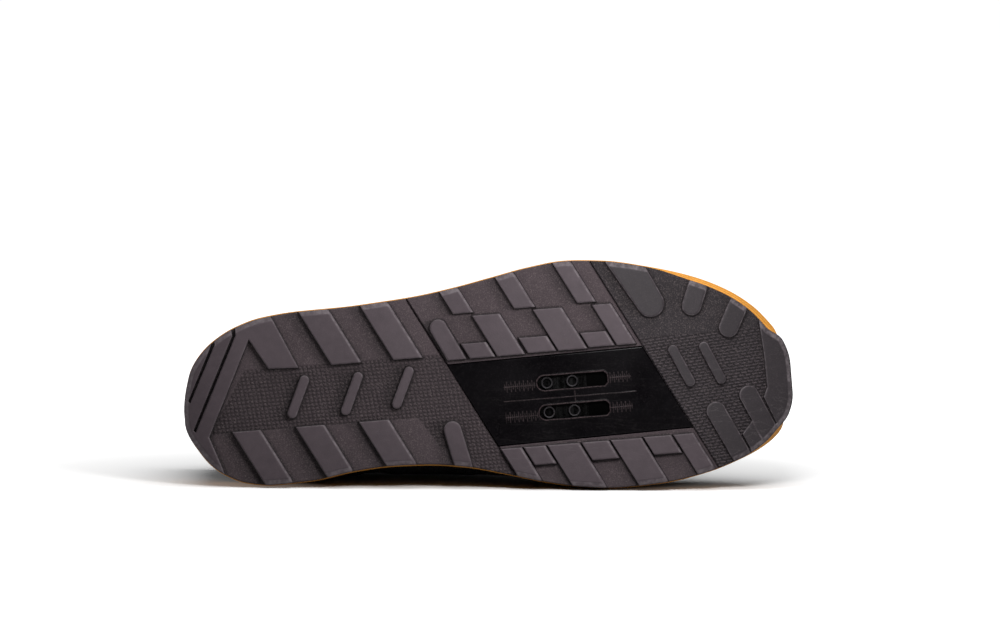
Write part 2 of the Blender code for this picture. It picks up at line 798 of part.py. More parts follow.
def sock_inset(turn):
    """How far the foot of the upper's wall stands inside the sole edge."""
    return bumper_room(turn) + RIM_LEAN + RIM_WALL + GAP


def insole():
    """Flat sock liner on the footbed, inside the wall of the upper."""
    turn, side = loop_of(EVEN_TURNS)
    points, _ = edge_points(turn, side, sock_inset(turn) + UPPER_WALL + GAP)
    low = footbed(points[:, 0]) + GAP
    rings = [with_height(points, low), with_height(points, low + INSOLE)]
    count = len(turn)
    faces = ring_faces(2, count) + strip_faces(0, count) + strip_faces(count, count)
    mesh = mesh_of("insole", np.concatenate(rings), faces)
    tidy(mesh)
    return mesh


def wall_rows():
    """The upper's sections as columns in metres, each with the turn of its foot."""
    table = COLLAR + THROAT
    heights = [HEEL_HEIGHT] * len(COLLAR) + [INSTEP_HEIGHT] * len(THROAT)
    heights = np.array(heights)
    rows = {
        "turn": turn_of(column(table, "foot")),
        "top": column(table, "top") * LENGTH,
        "half": column(table, "half") * BALL_WIDTH,
        "ridge": column(table, "ridge") * BALL_WIDTH,
        "outer_up": column(table, "outer_up") * heights,
        "inner_up": column(table, "inner_up") * heights,
        "stand": column(table, "stand"),
        "bulge": column(table, "bulge") * BALL_WIDTH,
        "slope": np.radians(column(table, "slope")),
        "reach": column(table, "reach"),
    }
    return rows


def wall_curve(turn, side):
    """Four handles of the wall's section curve, from the top of the midsole's rim to the top edge."""
    rows = wall_rows()
    read = {name: smooth(rows["turn"], rows[name], turn) for name in rows if name != "turn"}
    foot, outward = edge_points(turn, side, sock_inset(turn))
    start = with_height(foot, footbed(foot[:, 0]) + RIM_HEIGHT)
    up = np.where(side < 0, read["outer_up"], read["inner_up"])
    end = np.column_stack([read["top"], read["ridge"] + side * read["half"], up])
    lead = 0.03
    out = start[:, :2] - end[:, :2] + lead * outward
    out = out / np.linalg.norm(out, axis=1)[:, None]
    height = end[:, 2] - start[:, 2]
    first = start + with_height(outward * read["bulge"][:, None], read["stand"] * height)
    span = np.linalg.norm(end - start, axis=1) * read["reach"]
    fall = with_height(out * np.cos(read["slope"])[:, None], -np.sin(read["slope"]))
    return start, first, end + fall * span[:, None], end


def wall_point(handles, share):
    """Points of the section curves at a share from the rim to the top edge."""
    start, first, second, end = handles
    rest = 1 - share
    return rest**3 * start + 3 * rest**2 * share * first + 3 * rest * share**2 * second + share**3 * end


def wall_normals(grid):
    """Outward directions of a grid of rings, from its two directions on the surface."""
    along = np.roll(grid, -1, axis=1) - np.roll(grid, 1, axis=1)
    upward = np.gradient(grid, axis=0)
    normal = np.cross(along, upward)
    return normal / np.linalg.norm(normal, axis=2)[:, :, None]


def is_overlay(turn, share):
    """Where the toe cap, the heel counter and the eyestay stand on the wall."""
    cap = (turn > turn_of(TOE_CAP_FROM)) & (share < TOE_CAP_TOP + STEP / 2)
    counter = (turn < turn_of(COUNTER_TO)) & (share < COUNTER_TOP + STEP / 2)
    eyestay = (turn > turn_of(THROAT_FROM)) & (share > EYESTAY_EDGE - STEP / 2)
    return cap | counter | eyestay


def upper_turns():
    """Turns of the upper's sections: the even ones, and a close pair at each end of an overlay."""
    pairs = []
    for along in (TOE_CAP_FROM, COUNTER_TO, THROAT_FROM):
        pairs += [turn_of(along) - STEP / 8, turn_of(along) + STEP / 8]
    keep = [turn for turn in EVEN_TURNS if min(abs(turn - pair) for pair in pairs) > STEP / 2]
    return np.array(sorted(keep + pairs))


def upper_surface():
    """Outer surface of the upper as rings from the foot to the top edge, with their shares of the wall."""
    turn, side = loop_of(upper_turns())
    handles = wall_curve(turn, side)
    edges = []
    for share in (TOE_CAP_TOP, COUNTER_TOP, EYESTAY_EDGE):
        edges += [share - STEP / 2, share + STEP / 2]
    shares = np.array(sorted([0, 1] + WALL_LEVELS + edges))
    rings = [wall_point(handles, share) for share in shares]
    grid = np.stack(rings)
    normals = wall_normals(grid)
    lift = np.array([is_overlay(turn, share) for share in shares])
    lift[0] = False
    grid = grid + normals * (lift * OVERLAY)[:, :, None]
    foot = grid[0].copy()
    foot[:, 2] = footbed(foot[:, 0]) + GAP
    return np.concatenate([foot[None], grid]), np.concatenate([[0], shares]), turn


def collar_padding(turn, share):
    """Share of the collar's padding, from 0 on the wall to 1 round the collar."""
    rise_share = np.clip((share - 0.55) / 0.30, 0, 1)
    fade = np.clip((0.365 - turn) / 0.06, 0, 1)
    return rise_share**2 * (3 - 2 * rise_share) * fade


def eyelet_places():
    """Turn of each eyelet along the throat."""
    first = turn_of(0.46)
    last = turn_of(0.70)
    return np.linspace(first, last, EYELETS)


def throat_arch(turn, lift, reach):
    """Points across the throat at one turn, from one eyestay to the other, moved off the wall by lift.

    The points run down each wall by reach, a share of its curve, and arch between the two edges."""
    pair = np.array([turn, turn])
    side = np.array([-1.0, 1.0])
    handles = wall_curve(pair, side)
    probe = 0.02
    nearby = wall_curve(pair + probe, side)
    columns = {-1: [], 1: []}
    for down in (reach, reach / 2, 0.0):
        here = wall_point(handles, 1 - down)
        ahead = wall_point(nearby, 1 - down)
        above = wall_point(handles, 1 - down + probe) if down > 0 else here
        below = wall_point(handles, 1 - down - probe)
        for index, hand in enumerate((-1, 1)):
            normal = np.cross(above[index] - below[index], ahead[index] - here[index]) * hand
            normal = normal / np.linalg.norm(normal)
            columns[hand].append(here[index] + normal * lift)
    outer = columns[-1]
    inner = columns[1]
    left = outer[-1]
    right = inner[-1]
    left_lead = (outer[-1] - outer[-2]) / np.linalg.norm(outer[-1] - outer[-2])
    right_lead = (inner[-1] - inner[-2]) / np.linalg.norm(inner[-1] - inner[-2])
    span = np.linalg.norm(right - left) * 0.36
    arch = wall_point((left, left + left_lead * span, right + right_lead * span, right), 0.25)
    top = wall_point((left, left + left_lead * span, right + right_lead * span, right), 0.5)
    back = wall_point((left, left + left_lead * span, right + right_lead * span, right), 0.75)
    return np.array(outer + [arch, top, back] + inner[::-1])


def eyelet_bores():
    """Cutter for the eyelets: one round bore square to each eyestay, carried with the shoe."""
    shape = bmesh.new()
    for turn in eyelet_places():
        centres = throat_arch(turn, 0.0, EYELET_REACH)
        outside = throat_arch(turn, UPPER_WALL, EYELET_REACH)
        for end in (0, -1):
            axis = Vector(outside[end] - centres[end])
            place = Matrix.Translation(centres[end]) @ axis.to_track_quat("Z", "Y").to_matrix().to_4x4()
            bmesh.ops.create_cone(
                shape,
                cap_ends=True,
                segments=8,
                radius1=EYELET_BORE / 2,
                radius2=EYELET_BORE / 2,
                depth=4 * UPPER_WALL,
                matrix=place,
            )
    mesh = bpy.data.meshes.new("eyelet_bores")
    shape.to_mesh(mesh)
    shape.free()
    result = guide("eyelet_bores", mesh)
    result.parent = bpy.data.objects["shoe"]
    return result


def grid_faces(rows, columns):
    """Faces of an open grid."""
    faces = []
    for row in range(rows - 1):
        for step in range(columns - 1):
            first = row * columns + step
            faces.append((first, first + 1, first + 1 + columns, first + columns))
    return faces


def tongue():
    """Padded tongue: under the eyestays, tucked under the vamp and standing free above the throat."""
    front = turn_of(0.735)
    back = turn_of(0.42)
    depth = UPPER_WALL + OVERLAY + 2 * GAP
    rows = [throat_arch(front + (back - front) * place, -depth, 0.14) for place in TONGUE_ROWS]
    first = rows[0].copy()
    run = rows[0] - rows[1]
    run = run / np.linalg.norm(run, axis=1)[:, None]
    first = first + run * TONGUE_TUCK
    first[:, 2] -= UPPER_WALL
    last = rows[-1]
    climb = np.array([-0.80, 0, 0.60])
    rows = [first] + rows
    for step in (0.35, 0.7, 1.0):
        narrow = 1 - 0.22 * step**2
        row = last + climb * TONGUE_TIP * step
        middle = row[:, 1].mean()
        row[:, 1] = middle + (row[:, 1] - middle) * narrow
        rows.append(row)
    grid = np.array(rows)
    mesh = mesh_of("tongue", grid.reshape(-1, 3), grid_faces(len(rows), grid.shape[1]))
    return mesh


def lace_bar(turn):
    """One bar of the lace between two facing eyelets."""
    middle = throat_arch(turn, OVERLAY + 2 * GAP, 0.10)
    nearby = throat_arch(turn + 0.01, OVERLAY + 2 * GAP, 0.10)
    run = nearby - middle
    run = run / np.linalg.norm(run, axis=1)[:, None]
    rows = [middle + run * LACE_WIDTH / 2, middle - run * LACE_WIDTH / 2]
    grid = np.array(rows)
    return mesh_of("lace", grid.reshape(-1, 3), grid_faces(2, grid.shape[1]))


def piece(name, mesh, look, thickness=0.0, outwards=False):
    """One piece of the shoe, linked to its collection and carried by the shoe's empty."""
    result = bpy.data.objects.new(name, mesh)
    bpy.data.collections["cycling_shoe"].objects.link(result)
    result.parent = bpy.data.objects["shoe"]
    mesh.materials.clear()
    mesh.materials.append(look)
    mesh.shade_smooth()
    mesh.set_sharp_from_angle(angle=math.radians(30))
    if thickness:
        solid = result.modifiers.new("wall", "SOLIDIFY")
        solid.thickness = thickness
        solid.offset = 1 if outwards else -1
        solid.use_even_offset = False
    return result


def upper(look):
    """Hollow upper: its outer surface with a wall, thicker round the collar, and its eyelet holes."""
    grid, shares, turn = upper_surface()
    rings, count, _ = grid.shape
    mesh = mesh_of("upper", grid.reshape(-1, 3), ring_faces(rings, count))
    result = piece("upper", mesh, look, COLLAR_PAD)
    solid = result.modifiers["wall"]
    padding = result.vertex_groups.new(name="padding")
    for ring, share in enumerate(shares):
        weights = collar_padding(turn, share)
        for step, weight in enumerate(weights):
            padding.add([ring * count + step], float(weight), "REPLACE")
    solid.vertex_group = "padding"
    solid.thickness_vertex_group = UPPER_WALL / COLLAR_PAD
    holes = result.modifiers.new("eyelets", "BOOLEAN")
    holes.operation = "DIFFERENCE"
    holes.solver = "EXACT"
    holes.object = eyelet_bores()
    return result


def volume_centre(mesh):
    """Volume of a closed mesh and its centre, from the tetrahedra between its faces and the origin."""
    mesh.calc_loop_triangles()
    points = np.empty(len(mesh.vertices) * 3)
    mesh.vertices.foreach_get("co", points)
    corners = np.empty(len(mesh.loop_triangles) * 3, dtype=np.int32)
    mesh.loop_triangles.foreach_get("vertices", corners)
    triangles = points.reshape(-1, 3)[corners.reshape(-1, 3)]
    parts = np.einsum("ij,ij->i", triangles[:, 0], np.cross(triangles[:, 1], triangles[:, 2])) / 6
    total = parts.sum()
    return total, (triangles.sum(axis=1) / 4 * parts[:, None]).sum(axis=0) / total


def resting_pose(pieces, densities):
    """Turn and place of the shoe on the floor: on the side of its hull, towards the inner side, that
    lies under its balance point. The toe then points along +X and the box stands on the origin."""
    hull = bmesh.new()
    weight = 0.0
    moment = np.zeros(3)
    for item, density in zip(pieces, densities):
        mesh = finished(item)
        volume, centre = volume_centre(mesh)
        weight += volume * density
        moment += volume * density * centre
        for vertex in mesh.vertices:
            hull.verts.new(vertex.co)
    balance = Vector(moment / weight)
    bmesh.ops.convex_hull(hull, input=hull.verts, use_existing_faces=False)
    best = Vector((0, 0, 0))
    for face in hull.faces:
        corners = [vertex.co for vertex in face.verts][:3]
        normal = (corners[1] - corners[0]).cross(corners[2] - corners[0]).normalized()
        if normal.dot(corners[0] - balance) < 0:
            normal = -normal
        foot = balance + normal * normal.dot(corners[0] - balance)
        if normal.y > best.y and intersect_point_tri(foot, *corners):
            best = normal
    up = -best
    ahead = (Vector((1, 0, 0)) - up * up.x).normalized()
    turned = Matrix([ahead, up.cross(ahead), up]).to_4x4()
    points = np.array([turned @ vertex.co for vertex in hull.verts])
    hull.free()
    low = points.min(axis=0)
    high = points.max(axis=0)
    shift = (-(low[0] + high[0]) / 2, -(low[1] + high[1]) / 2, -low[2])
    return Matrix.Translation(shift) @ turned


def main():
    """Builds every piece and lays the shoe down."""
    for item in list(bpy.data.objects):
        bpy.data.objects.remove(item)
    collection("cycling_shoe")
    collection("cutters")
    carrier = bpy.data.objects.new("shoe", None)
    bpy.data.collections["cycling_shoe"].objects.link(carrier)
    rubber = (0.062, 0.050, 0.056)
    kinds = []
    pieces = []

    def add(item, kind):
        pieces.append(item)
        kinds.append(DENSITY[kind])

    add(piece("outsole_heel", outsole_heel(), material("rubber_heel", rubber, 0.65)), "rubber")
    add(piece("outsole_ball_outer", outsole_ball_outer(), material("rubber_outer", rubber, 0.65)), "rubber")
    add(piece("outsole_ball_inner", outsole_ball_inner(), material("rubber_inner", rubber, 0.65)), "rubber")
    add(piece("outsole_toe", outsole_toe(), material("rubber_toe", rubber, 0.65)), "rubber")
    add(piece("midsole", midsole(), material("midsole_ochre", (0.68, 0.30, 0.045), 0.55)), "foam")
    add(piece("cleat_plate", cleat_plate(), material("plate_black", (0.012, 0.011, 0.012), 0.25)), "nylon")
    add(piece("cleat_nut_plate", cleat_nut_plate(), material("nut_steel", (0.45, 0.45, 0.46), 0.35, 1.0)), "steel")
    add(piece("insole", insole(), material("insole_grey", (0.10, 0.10, 0.11), 0.85)), "cloth")
    add(upper(material("upper_charcoal", (0.030, 0.030, 0.034), 0.55)), "synthetic")
    add(piece("tongue", tongue(), material("tongue_black", (0.022, 0.022, 0.025), 0.8), TONGUE_PAD), "cloth")
    for index, turn in enumerate(eyelet_places()):
        look = material(f"lace_grey_{index + 1}", (0.06, 0.06, 0.065), 0.8)
        bar = piece(f"lace_{index + 1}", lace_bar(turn), look, LACE_THICKNESS, outwards=True)
        add(bar, "cloth")
    carrier.matrix_world = resting_pose(pieces, kinds)


main()
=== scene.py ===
"""Finished look of a right cycling shoe that lies on its inner side, with its sole to the viewer.

Every piece is worked out in shoe space, in metres: X runs from the heel back to the toe tip, Y towards the
inner side of the foot and Z up from the ground. It is then laid down with the shoe. Tables hold shares:
places along the shoe are shares of LENGTH and places across it are shares of BALL_WIDTH.
"""

import json
import math
from collections import namedtuple

import bpy
import numpy as np
from mathutils import Matrix, Vector


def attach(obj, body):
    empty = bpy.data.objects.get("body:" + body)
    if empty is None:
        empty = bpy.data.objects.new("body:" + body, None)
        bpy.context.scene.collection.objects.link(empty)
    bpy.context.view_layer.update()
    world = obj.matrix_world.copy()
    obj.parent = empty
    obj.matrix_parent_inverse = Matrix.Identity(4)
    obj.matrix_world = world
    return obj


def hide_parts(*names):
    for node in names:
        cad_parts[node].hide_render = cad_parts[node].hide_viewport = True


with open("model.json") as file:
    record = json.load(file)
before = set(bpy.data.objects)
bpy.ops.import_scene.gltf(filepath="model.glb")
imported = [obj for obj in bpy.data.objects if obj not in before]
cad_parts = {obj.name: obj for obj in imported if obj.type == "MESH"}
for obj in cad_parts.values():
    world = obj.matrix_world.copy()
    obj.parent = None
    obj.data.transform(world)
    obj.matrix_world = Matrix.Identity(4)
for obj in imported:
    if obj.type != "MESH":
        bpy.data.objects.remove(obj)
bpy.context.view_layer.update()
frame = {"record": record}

MM = 0.001

# Sizes shared with the solids
LENGTH = 0.2894
BALL_WIDTH = 0.1096
HEEL_HEIGHT = 0.095
INSTEP_HEIGHT = 0.110
HEEL_STACK = 0.024
TOE_SPRING = 0.016
GAP = 0.0003
LUG_HEIGHT = 0.003
RUBBER = 0.0022
SOLE_TOP = LUG_HEIGHT + RUBBER
PLATE = 0.0018
GROOVE = 0.0013
SIPE = 0.0007
SLANT = 0.52
BUMPER_WALL = 0.002
BUMPER_HEIGHT = 0.013
BUMPER_FROM = 0.93
BUMPER_RISE = (0.90, 0.955)
BORDER = 0.0022
BORDER_FROM = 0.80
PILL_WIDTH = 0.0048
FINGER_WIDTH = 0.0086
RIM_HEIGHT = 0.007
RIM_WALL = 0.0025
RIM_LEAN = 0.002
SLOT_SPACING = 0.014
SLOT_WIDTH = 0.0064
SLOT_LENGTH = 0.033
BOLT_PITCH = 0.012
BOSS_DIAMETER = 0.0056
BOLT_BORE = 0.0042
UPPER_WALL = 0.002
COLLAR_PAD = 0.006
OVERLAY = 0.0008
TONGUE_PAD = 0.004
EYELETS = 6
EYELET_REACH = 0.075
LACE_WIDTH = 0.006
LACE_THICKNESS = 0.0012

Edge = namedtuple("Edge", "along outer inner outer_rim inner_rim")
EDGE = [
    Edge(0.000, -0.030, 0.058, 0.003, 0.003),
    Edge(0.007, 0.094, 0.132, 0.004, 0.004),
    Edge(0.016, 0.164, 0.174, 0.004, 0.005),
    Edge(0.038, 0.243, 0.255, 0.005, 0.006),
    Edge(0.060, 0.290, 0.302, 0.005, 0.006),
    Edge(0.095, 0.338, 0.344, 0.005, 0.006),
    Edge(0.140, 0.371, 0.362, 0.005, 0.006),
    Edge(0.200, 0.385, 0.358, 0.004, 0.006),
    Edge(0.275, 0.388, 0.331, 0.004, 0.006),
    Edge(0.330, 0.396, 0.322, 0.004, 0.006),
    Edge(0.390, 0.408, 0.328, 0.004, 0.006),
    Edge(0.455, 0.432, 0.351, 0.004, 0.006),
    Edge(0.520, 0.464, 0.395, 0.004, 0.005),
    Edge(0.580, 0.494, 0.441, 0.004, 0.005),
    Edge(0.640, 0.511, 0.475, 0.004, 0.005),
    Edge(0.705, 0.498, 0.493, 0.004, 0.005),
    Edge(0.775, 0.459, 0.487, 0.004, 0.005),
    Edge(0.850, 0.399, 0.455, 0.020, 0.004),
    Edge(0.905, 0.330, 0.410, 0.022, 0.004),
    Edge(0.945, 0.252, 0.363, 0.024, 0.011),
    Edge(0.972, 0.170, 0.310, 0.026, 0.018),
    Edge(0.990, 0.096, 0.236, 0.0015, 0.0015),
    Edge(1.000, -0.015, 0.135, 0.000, 0.000),
]

Level = namedtuple("Level", "along rise stack")
LEVELS = [
    Level(0.000, 0.38, 1.00),
    Level(0.020, 0.24, 1.00),
    Level(0.050, 0.10, 1.00),
    Level(0.100, 0.00, 1.00),
    Level(0.330, 0.00, 0.92),
    Level(0.430, 0.09, 0.84),
    Level(0.530, 0.00, 0.76),
    Level(0.700, 0.00, 0.68),
    Level(0.780, 0.07, 0.66),
    Level(0.850, 0.23, 0.64),
    Level(0.910, 0.45, 0.62),
    Level(0.955, 0.69, 0.60),
    Level(1.000, 1.00, 0.58),
]

Section = namedtuple("Section", "foot top half ridge outer_up inner_up stand bulge slope reach")
COLLAR = [
    Section(0.000, 0.021, 0.020, 0.030, 1.000, 1.000, 0.40, 0.060, 84, 0.30),
    Section(0.010, 0.026, 0.105, 0.026, 1.000, 1.000, 0.40, 0.060, 84, 0.30),
    Section(0.030, 0.041, 0.180, 0.016, 0.990, 0.995, 0.40, 0.055, 84, 0.30),
    Section(0.060, 0.069, 0.240, 0.006, 0.960, 0.975, 0.40, 0.045, 84, 0.30),
    Section(0.105, 0.118, 0.278, 0.000, 0.905, 0.937, 0.40, 0.030, 82, 0.30),
    Section(0.175, 0.180, 0.298, 0.000, 0.855, 0.905, 0.40, 0.020, 80, 0.30),
    Section(0.260, 0.262, 0.290, 0.008, 0.860, 0.915, 0.40, 0.015, 76, 0.30),
    Section(0.330, 0.332, 0.255, 0.018, 0.965, 0.990, 0.40, 0.012, 68, 0.32),
]
THROAT = [
    Section(0.385, 0.387, 0.212, 0.028, 0.975, 0.985, 0.42, 0.012, 60, 0.33),
    Section(0.435, 0.430, 0.192, 0.033, 0.950, 0.950, 0.42, 0.012, 54, 0.34),
    Section(0.485, 0.477, 0.184, 0.038, 0.882, 0.882, 0.42, 0.014, 50, 0.34),
    Section(0.535, 0.529, 0.174, 0.042, 0.805, 0.805, 0.42, 0.018, 46, 0.35),
    Section(0.590, 0.577, 0.163, 0.044, 0.732, 0.732, 0.42, 0.022, 42, 0.36),
    Section(0.648, 0.629, 0.150, 0.042, 0.664, 0.664, 0.42, 0.026, 38, 0.38),
    Section(0.710, 0.674, 0.132, 0.038, 0.609, 0.609, 0.42, 0.026, 34, 0.40),
    Section(0.765, 0.701, 0.108, 0.036, 0.582, 0.582, 0.43, 0.024, 30, 0.42),
    Section(0.830, 0.715, 0.080, 0.036, 0.568, 0.568, 0.45, 0.022, 24, 0.44),
    Section(0.900, 0.722, 0.052, 0.036, 0.562, 0.562, 0.50, 0.020, 18, 0.48),
    Section(0.955, 0.725, 0.030, 0.037, 0.560, 0.560, 0.58, 0.018, 14, 0.52),
    Section(1.000, 0.726, 0.010, 0.038, 0.559, 0.559, 0.66, 0.016, 12, 0.55),
]

TOE_CAP_TOP = 0.30
COUNTER_TOP = 0.46
EYESTAY_EDGE = 0.87
TOE_CAP_FROM = 0.835
COUNTER_TO = 0.215
THROAT_FROM = 0.385

Bar = namedtuple("Bar", "start end near far")
HEEL_BARS = [
    Bar(0.275, 0.328, -0.60, -0.140),
    Bar(0.377, 0.428, -0.60, -0.140),
    Bar(0.054, 0.104, 0.114, 0.60),
    Bar(0.158, 0.209, 0.114, 0.60),
    Bar(0.262, 0.315, 0.114, 0.60),
]
BALL_OUTER_BARS = [
    Bar(0.515, 0.552, -0.60, -0.317),
    Bar(0.498, 0.543, -0.187, -0.119),
    Bar(0.543, 0.592, -0.305, -0.119),
    Bar(0.616, 0.654, -0.60, -0.319),
    Bar(0.594, 0.644, -0.193, -0.122),
    Bar(0.644, 0.695, -0.310, -0.122),
    Bar(0.720, 0.754, -0.60, -0.321),
    Bar(0.695, 0.741, -0.193, -0.126),
    Bar(0.741, 0.776, -0.310, -0.126),
]
BALL_INNER_BARS = [
    Bar(0.456, 0.495, 0.280, 0.60),
    Bar(0.495, 0.534, 0.280, 0.363),
    Bar(0.534, 0.590, 0.280, 0.60),
    Bar(0.590, 0.638, 0.280, 0.362),
    Bar(0.638, 0.692, 0.280, 0.60),
    Bar(0.692, 0.741, 0.278, 0.360),
    Bar(0.741, 0.778, 0.278, 0.60),
]

Finger = namedtuple("Finger", "along across to_along to_across width to_width")
HEEL_FINGERS = [
    Finger(0.438, 0.182, 0.473, 0.600, 1.00, 1.00),
]
BALL_FINGERS = [
    Finger(0.428, -0.263, 0.480, 0.020, 0.98, 0.98),
]
TOE_FINGERS = [
    Finger(0.7315, -0.529, 0.778, -0.295, 1.85, 1.53),
    Finger(0.872, -0.450, 0.845, -0.272, 1.12, 1.12),
    Finger(0.936, -0.330, 0.903, -0.165, 1.12, 1.12),
    Finger(0.871, 0.192, 0.912, 0.420, 1.08, 1.08),
    Finger(0.927, 0.134, 0.962, 0.340, 1.08, 1.08),
]

Pill = namedtuple("Pill", "along across to_along to_across")
HEEL_PILLS = [
    Pill(0.206, -0.104, 0.175, 0.075),
    Pill(0.294, -0.100, 0.263, 0.080),
    Pill(0.378, -0.106, 0.347, 0.070),
]
TOE_PILLS = [
    Pill(0.805, -0.108, 0.836, 0.076),
    Pill(0.856, -0.111, 0.887, 0.076),
]

Corner = namedtuple("Corner", "along across")
HEEL_BORDER = [
    Corner(0.143, -0.450),
    Corner(0.195, -0.139),
    Corner(0.145, -0.145),
    Corner(0.117, -0.276),
    Corner(0.040, 0.130),
    Corner(0.066, 0.330),
    Corner(0.040, 0.450),
    Corner(-0.050, 0.450),
    Corner(-0.050, -0.450),
]
HEEL_SLITS = [
    [
        Corner(0.048, -0.330),
        Corner(0.056, -0.330),
        Corner(0.0605, -0.268),
        Corner(0.0125, -0.024),
        Corner(0.010, -0.034),
        Corner(0.0555, -0.270),
    ],
    [
        Corner(0.088, -0.420),
        Corner(0.094, -0.420),
        Corner(0.096, -0.302),
        Corner(0.018, 0.104),
        Corner(0.0145, 0.096),
        Corner(0.0905, -0.300),
    ],
]
TOE_BLOCK = [
    Corner(0.911, 0.300),
    Corner(0.929, 0.244),
    Corner(0.942, 0.320),
    Corner(0.961, 0.420),
    Corner(0.935, 0.440),
]
BUMPER_TREAD = [
    Corner(0.955, -0.300),
    Corner(0.953, -0.180),
    Corner(0.957, -0.036),
    Corner(0.958, 0.105),
    Corner(0.951, 0.148),
    Corner(0.968, 0.262),
    Corner(0.985, 0.330),
    Corner(1.050, 0.330),
    Corner(1.050, -0.300),
]
HEEL_KNURL = [
    Corner(0.105, -0.146),
    Corner(0.430, -0.146),
    Corner(0.560, 0.480),
    Corner(0.500, 0.480),
    Corner(0.452, 0.240),
    Corner(0.418, 0.263),
    Corner(0.383, 0.119),
    Corner(0.040, 0.121),
]
TOE_KNURL = [
    Corner(0.700, -0.146),
    Corner(0.953, -0.155),
    Corner(0.958, 0.150),
    Corner(0.960, 0.480),
    Corner(0.800, 0.480),
]

HEEL_SPLIT = 0.4575
TOE_SPLIT = 0.7815
WINDOW_OUTER = (-0.103, -0.116)
WINDOW_INNER = (0.270, 0.256)
SLOT_ALONG = 0.640
SLOT_ACROSS = 0.0755
BOLT_ALONG = 0.619

# Shoe points of the record's mounts
HEEL_TREAD = (0.0725, -0.028, 0.0)
BALL_TREAD = (0.1815, -0.0235, 0.0)


def resting_pose():
    """Shoe space to the row frame. The cleat seat's axis gives the way down, and the line between the
    heel's and the ball's tread gives the way along."""
    mounts = {mount["name"]: mount for mount in frame["record"]["mounts"]}
    up = -Vector(mounts["cleat_seat"]["axis"]).normalized()
    heel = Vector(mounts["heel_tread"]["pos_m"])
    along = Vector(mounts["ball_tread"]["pos_m"]) - heel
    along = (along - up * up.dot(along)).normalized()
    across = up.cross(along)
    turn = math.atan2(BALL_TREAD[1] - HEEL_TREAD[1], BALL_TREAD[0] - HEEL_TREAD[0])
    x_axis = math.cos(turn) * along - math.sin(turn) * across
    y_axis = up.cross(x_axis)
    axes = Matrix([x_axis, y_axis, up]).transposed()
    return Matrix.Translation(heel - axes @ Vector(HEEL_TREAD)) @ axes.to_4x4()


POSE = resting_pose()


def laid_down(points):
    """Points of shoe space in the row frame."""
    pose = np.array(POSE)
    return np.asarray(points) @ pose[:3, :3].T + pose[:3, 3]


def smooth(places, values, where):
    """Cubic through a table's rows, with slopes that never overshoot a row."""
    places = np.asarray(places, float)
    values = np.asarray(values, float)
    steps = np.diff(places)
    rates = np.diff(values) / steps
    slopes = np.empty_like(values)
    slopes[0] = rates[0]
    slopes[-1] = rates[-1]
    product = rates[:-1] * rates[1:]
    total = rates[:-1] + rates[1:]
    slopes[1:-1] = np.where(product > 0, 2 * product / np.where(product > 0, total, 1), 0)
    where = np.asarray(where, float)
    index = np.clip(np.searchsorted(places, where) - 1, 0, len(steps) - 1)
    step = steps[index]
    share = np.clip((where - places[index]) / step, 0, 1)
    rest = 1 - share
    start = (1 + 2 * share) * rest**2 * values[index] + share * rest**2 * step * slopes[index]
    end = share**2 * (3 - 2 * share) * values[index + 1] - share**2 * rest * step * slopes[index + 1]
    return start + end


def column(table, name):
    """One named column of a table."""
    return np.array([getattr(row, name) for row in table], float)


def ease(value, start, end):
    """0 before start, 1 after end, and soft between."""
    share = np.clip((np.asarray(value, float) - start) / (end - start), 0, 1)
    return share**2 * (3 - 2 * share)


def turn_of(along):
    """Turn that runs evenly from 0 at the heel to 1 at the toe round both ends, from a share of LENGTH."""
    return np.arccos(1 - 2 * np.clip(along, 0, 1)) / np.pi


def place_of(turn):
    """Distance from the heel back at a turn."""
    return LENGTH * (1 - np.cos(np.pi * np.asarray(turn, float))) / 2


EDGE_TURNS = turn_of(column(EDGE, "along"))


def half_width(turn, side):
    """Distance of the sole edge from the middle line, on the outer side (-1) or the inner side (1)."""
    outer = smooth(EDGE_TURNS, column(EDGE, "outer"), turn)
    inner = smooth(EDGE_TURNS, column(EDGE, "inner"), turn)
    return BALL_WIDTH * np.where(side < 0, outer, inner)


def rim(turn, side):
    """How far the rubber stays inside the sole edge."""
    outer = smooth(EDGE_TURNS, column(EDGE, "outer_rim"), turn)
    inner = smooth(EDGE_TURNS, column(EDGE, "inner_rim"), turn)
    return BALL_WIDTH * np.where(side < 0, outer, inner)


def bumper_room(turn):
    """How far the midsole stays inside the sole edge to leave room for the bumper."""
    return (BUMPER_WALL + GAP) * ease(turn, *BUMPER_RISE)


def edge_points(turn, side, inset):
    """Points of the sole edge, moved inwards square to it by inset. Returns points and outward directions."""
    probe = 0.004
    before = np.clip(turn - probe, 0, 1)
    after = np.clip(turn + probe, 0, 1)
    widening = half_width(after, side) - half_width(before, side)
    run = np.stack([place_of(after) - place_of(before), side * widening])
    run = run / np.hypot(run[0], run[1])
    outward = np.stack([-side * run[1], side * run[0]], axis=1)
    points = np.stack([place_of(turn), side * half_width(turn, side)], axis=1)
    return points - outward * np.broadcast_to(inset, turn.shape)[:, None], outward


def loop_of(turns):
    """Turns and sides of one closed loop: the outer side from heel to toe, then the inner side back."""
    turns = np.asarray(turns, float)
    turn = np.concatenate([turns, turns[::-1]])
    side = np.concatenate([-np.ones(len(turns)), np.ones(len(turns))])
    return turn, side


def rise(x):
    """Height of the ground face."""
    return TOE_SPRING * smooth(column(LEVELS, "along"), column(LEVELS, "rise"), np.asarray(x) / LENGTH)


def footbed(x):
    """Height of the footbed above the ground."""
    share = np.clip(np.asarray(x) / LENGTH, 0, 1)
    return rise(x) + HEEL_STACK * smooth(column(LEVELS, "along"), column(LEVELS, "stack"), share)


def with_height(points, heights):
    """Points on the plan with their heights."""
    return np.concatenate([points, np.broadcast_to(heights, points.shape[:-1])[..., None]], axis=-1)


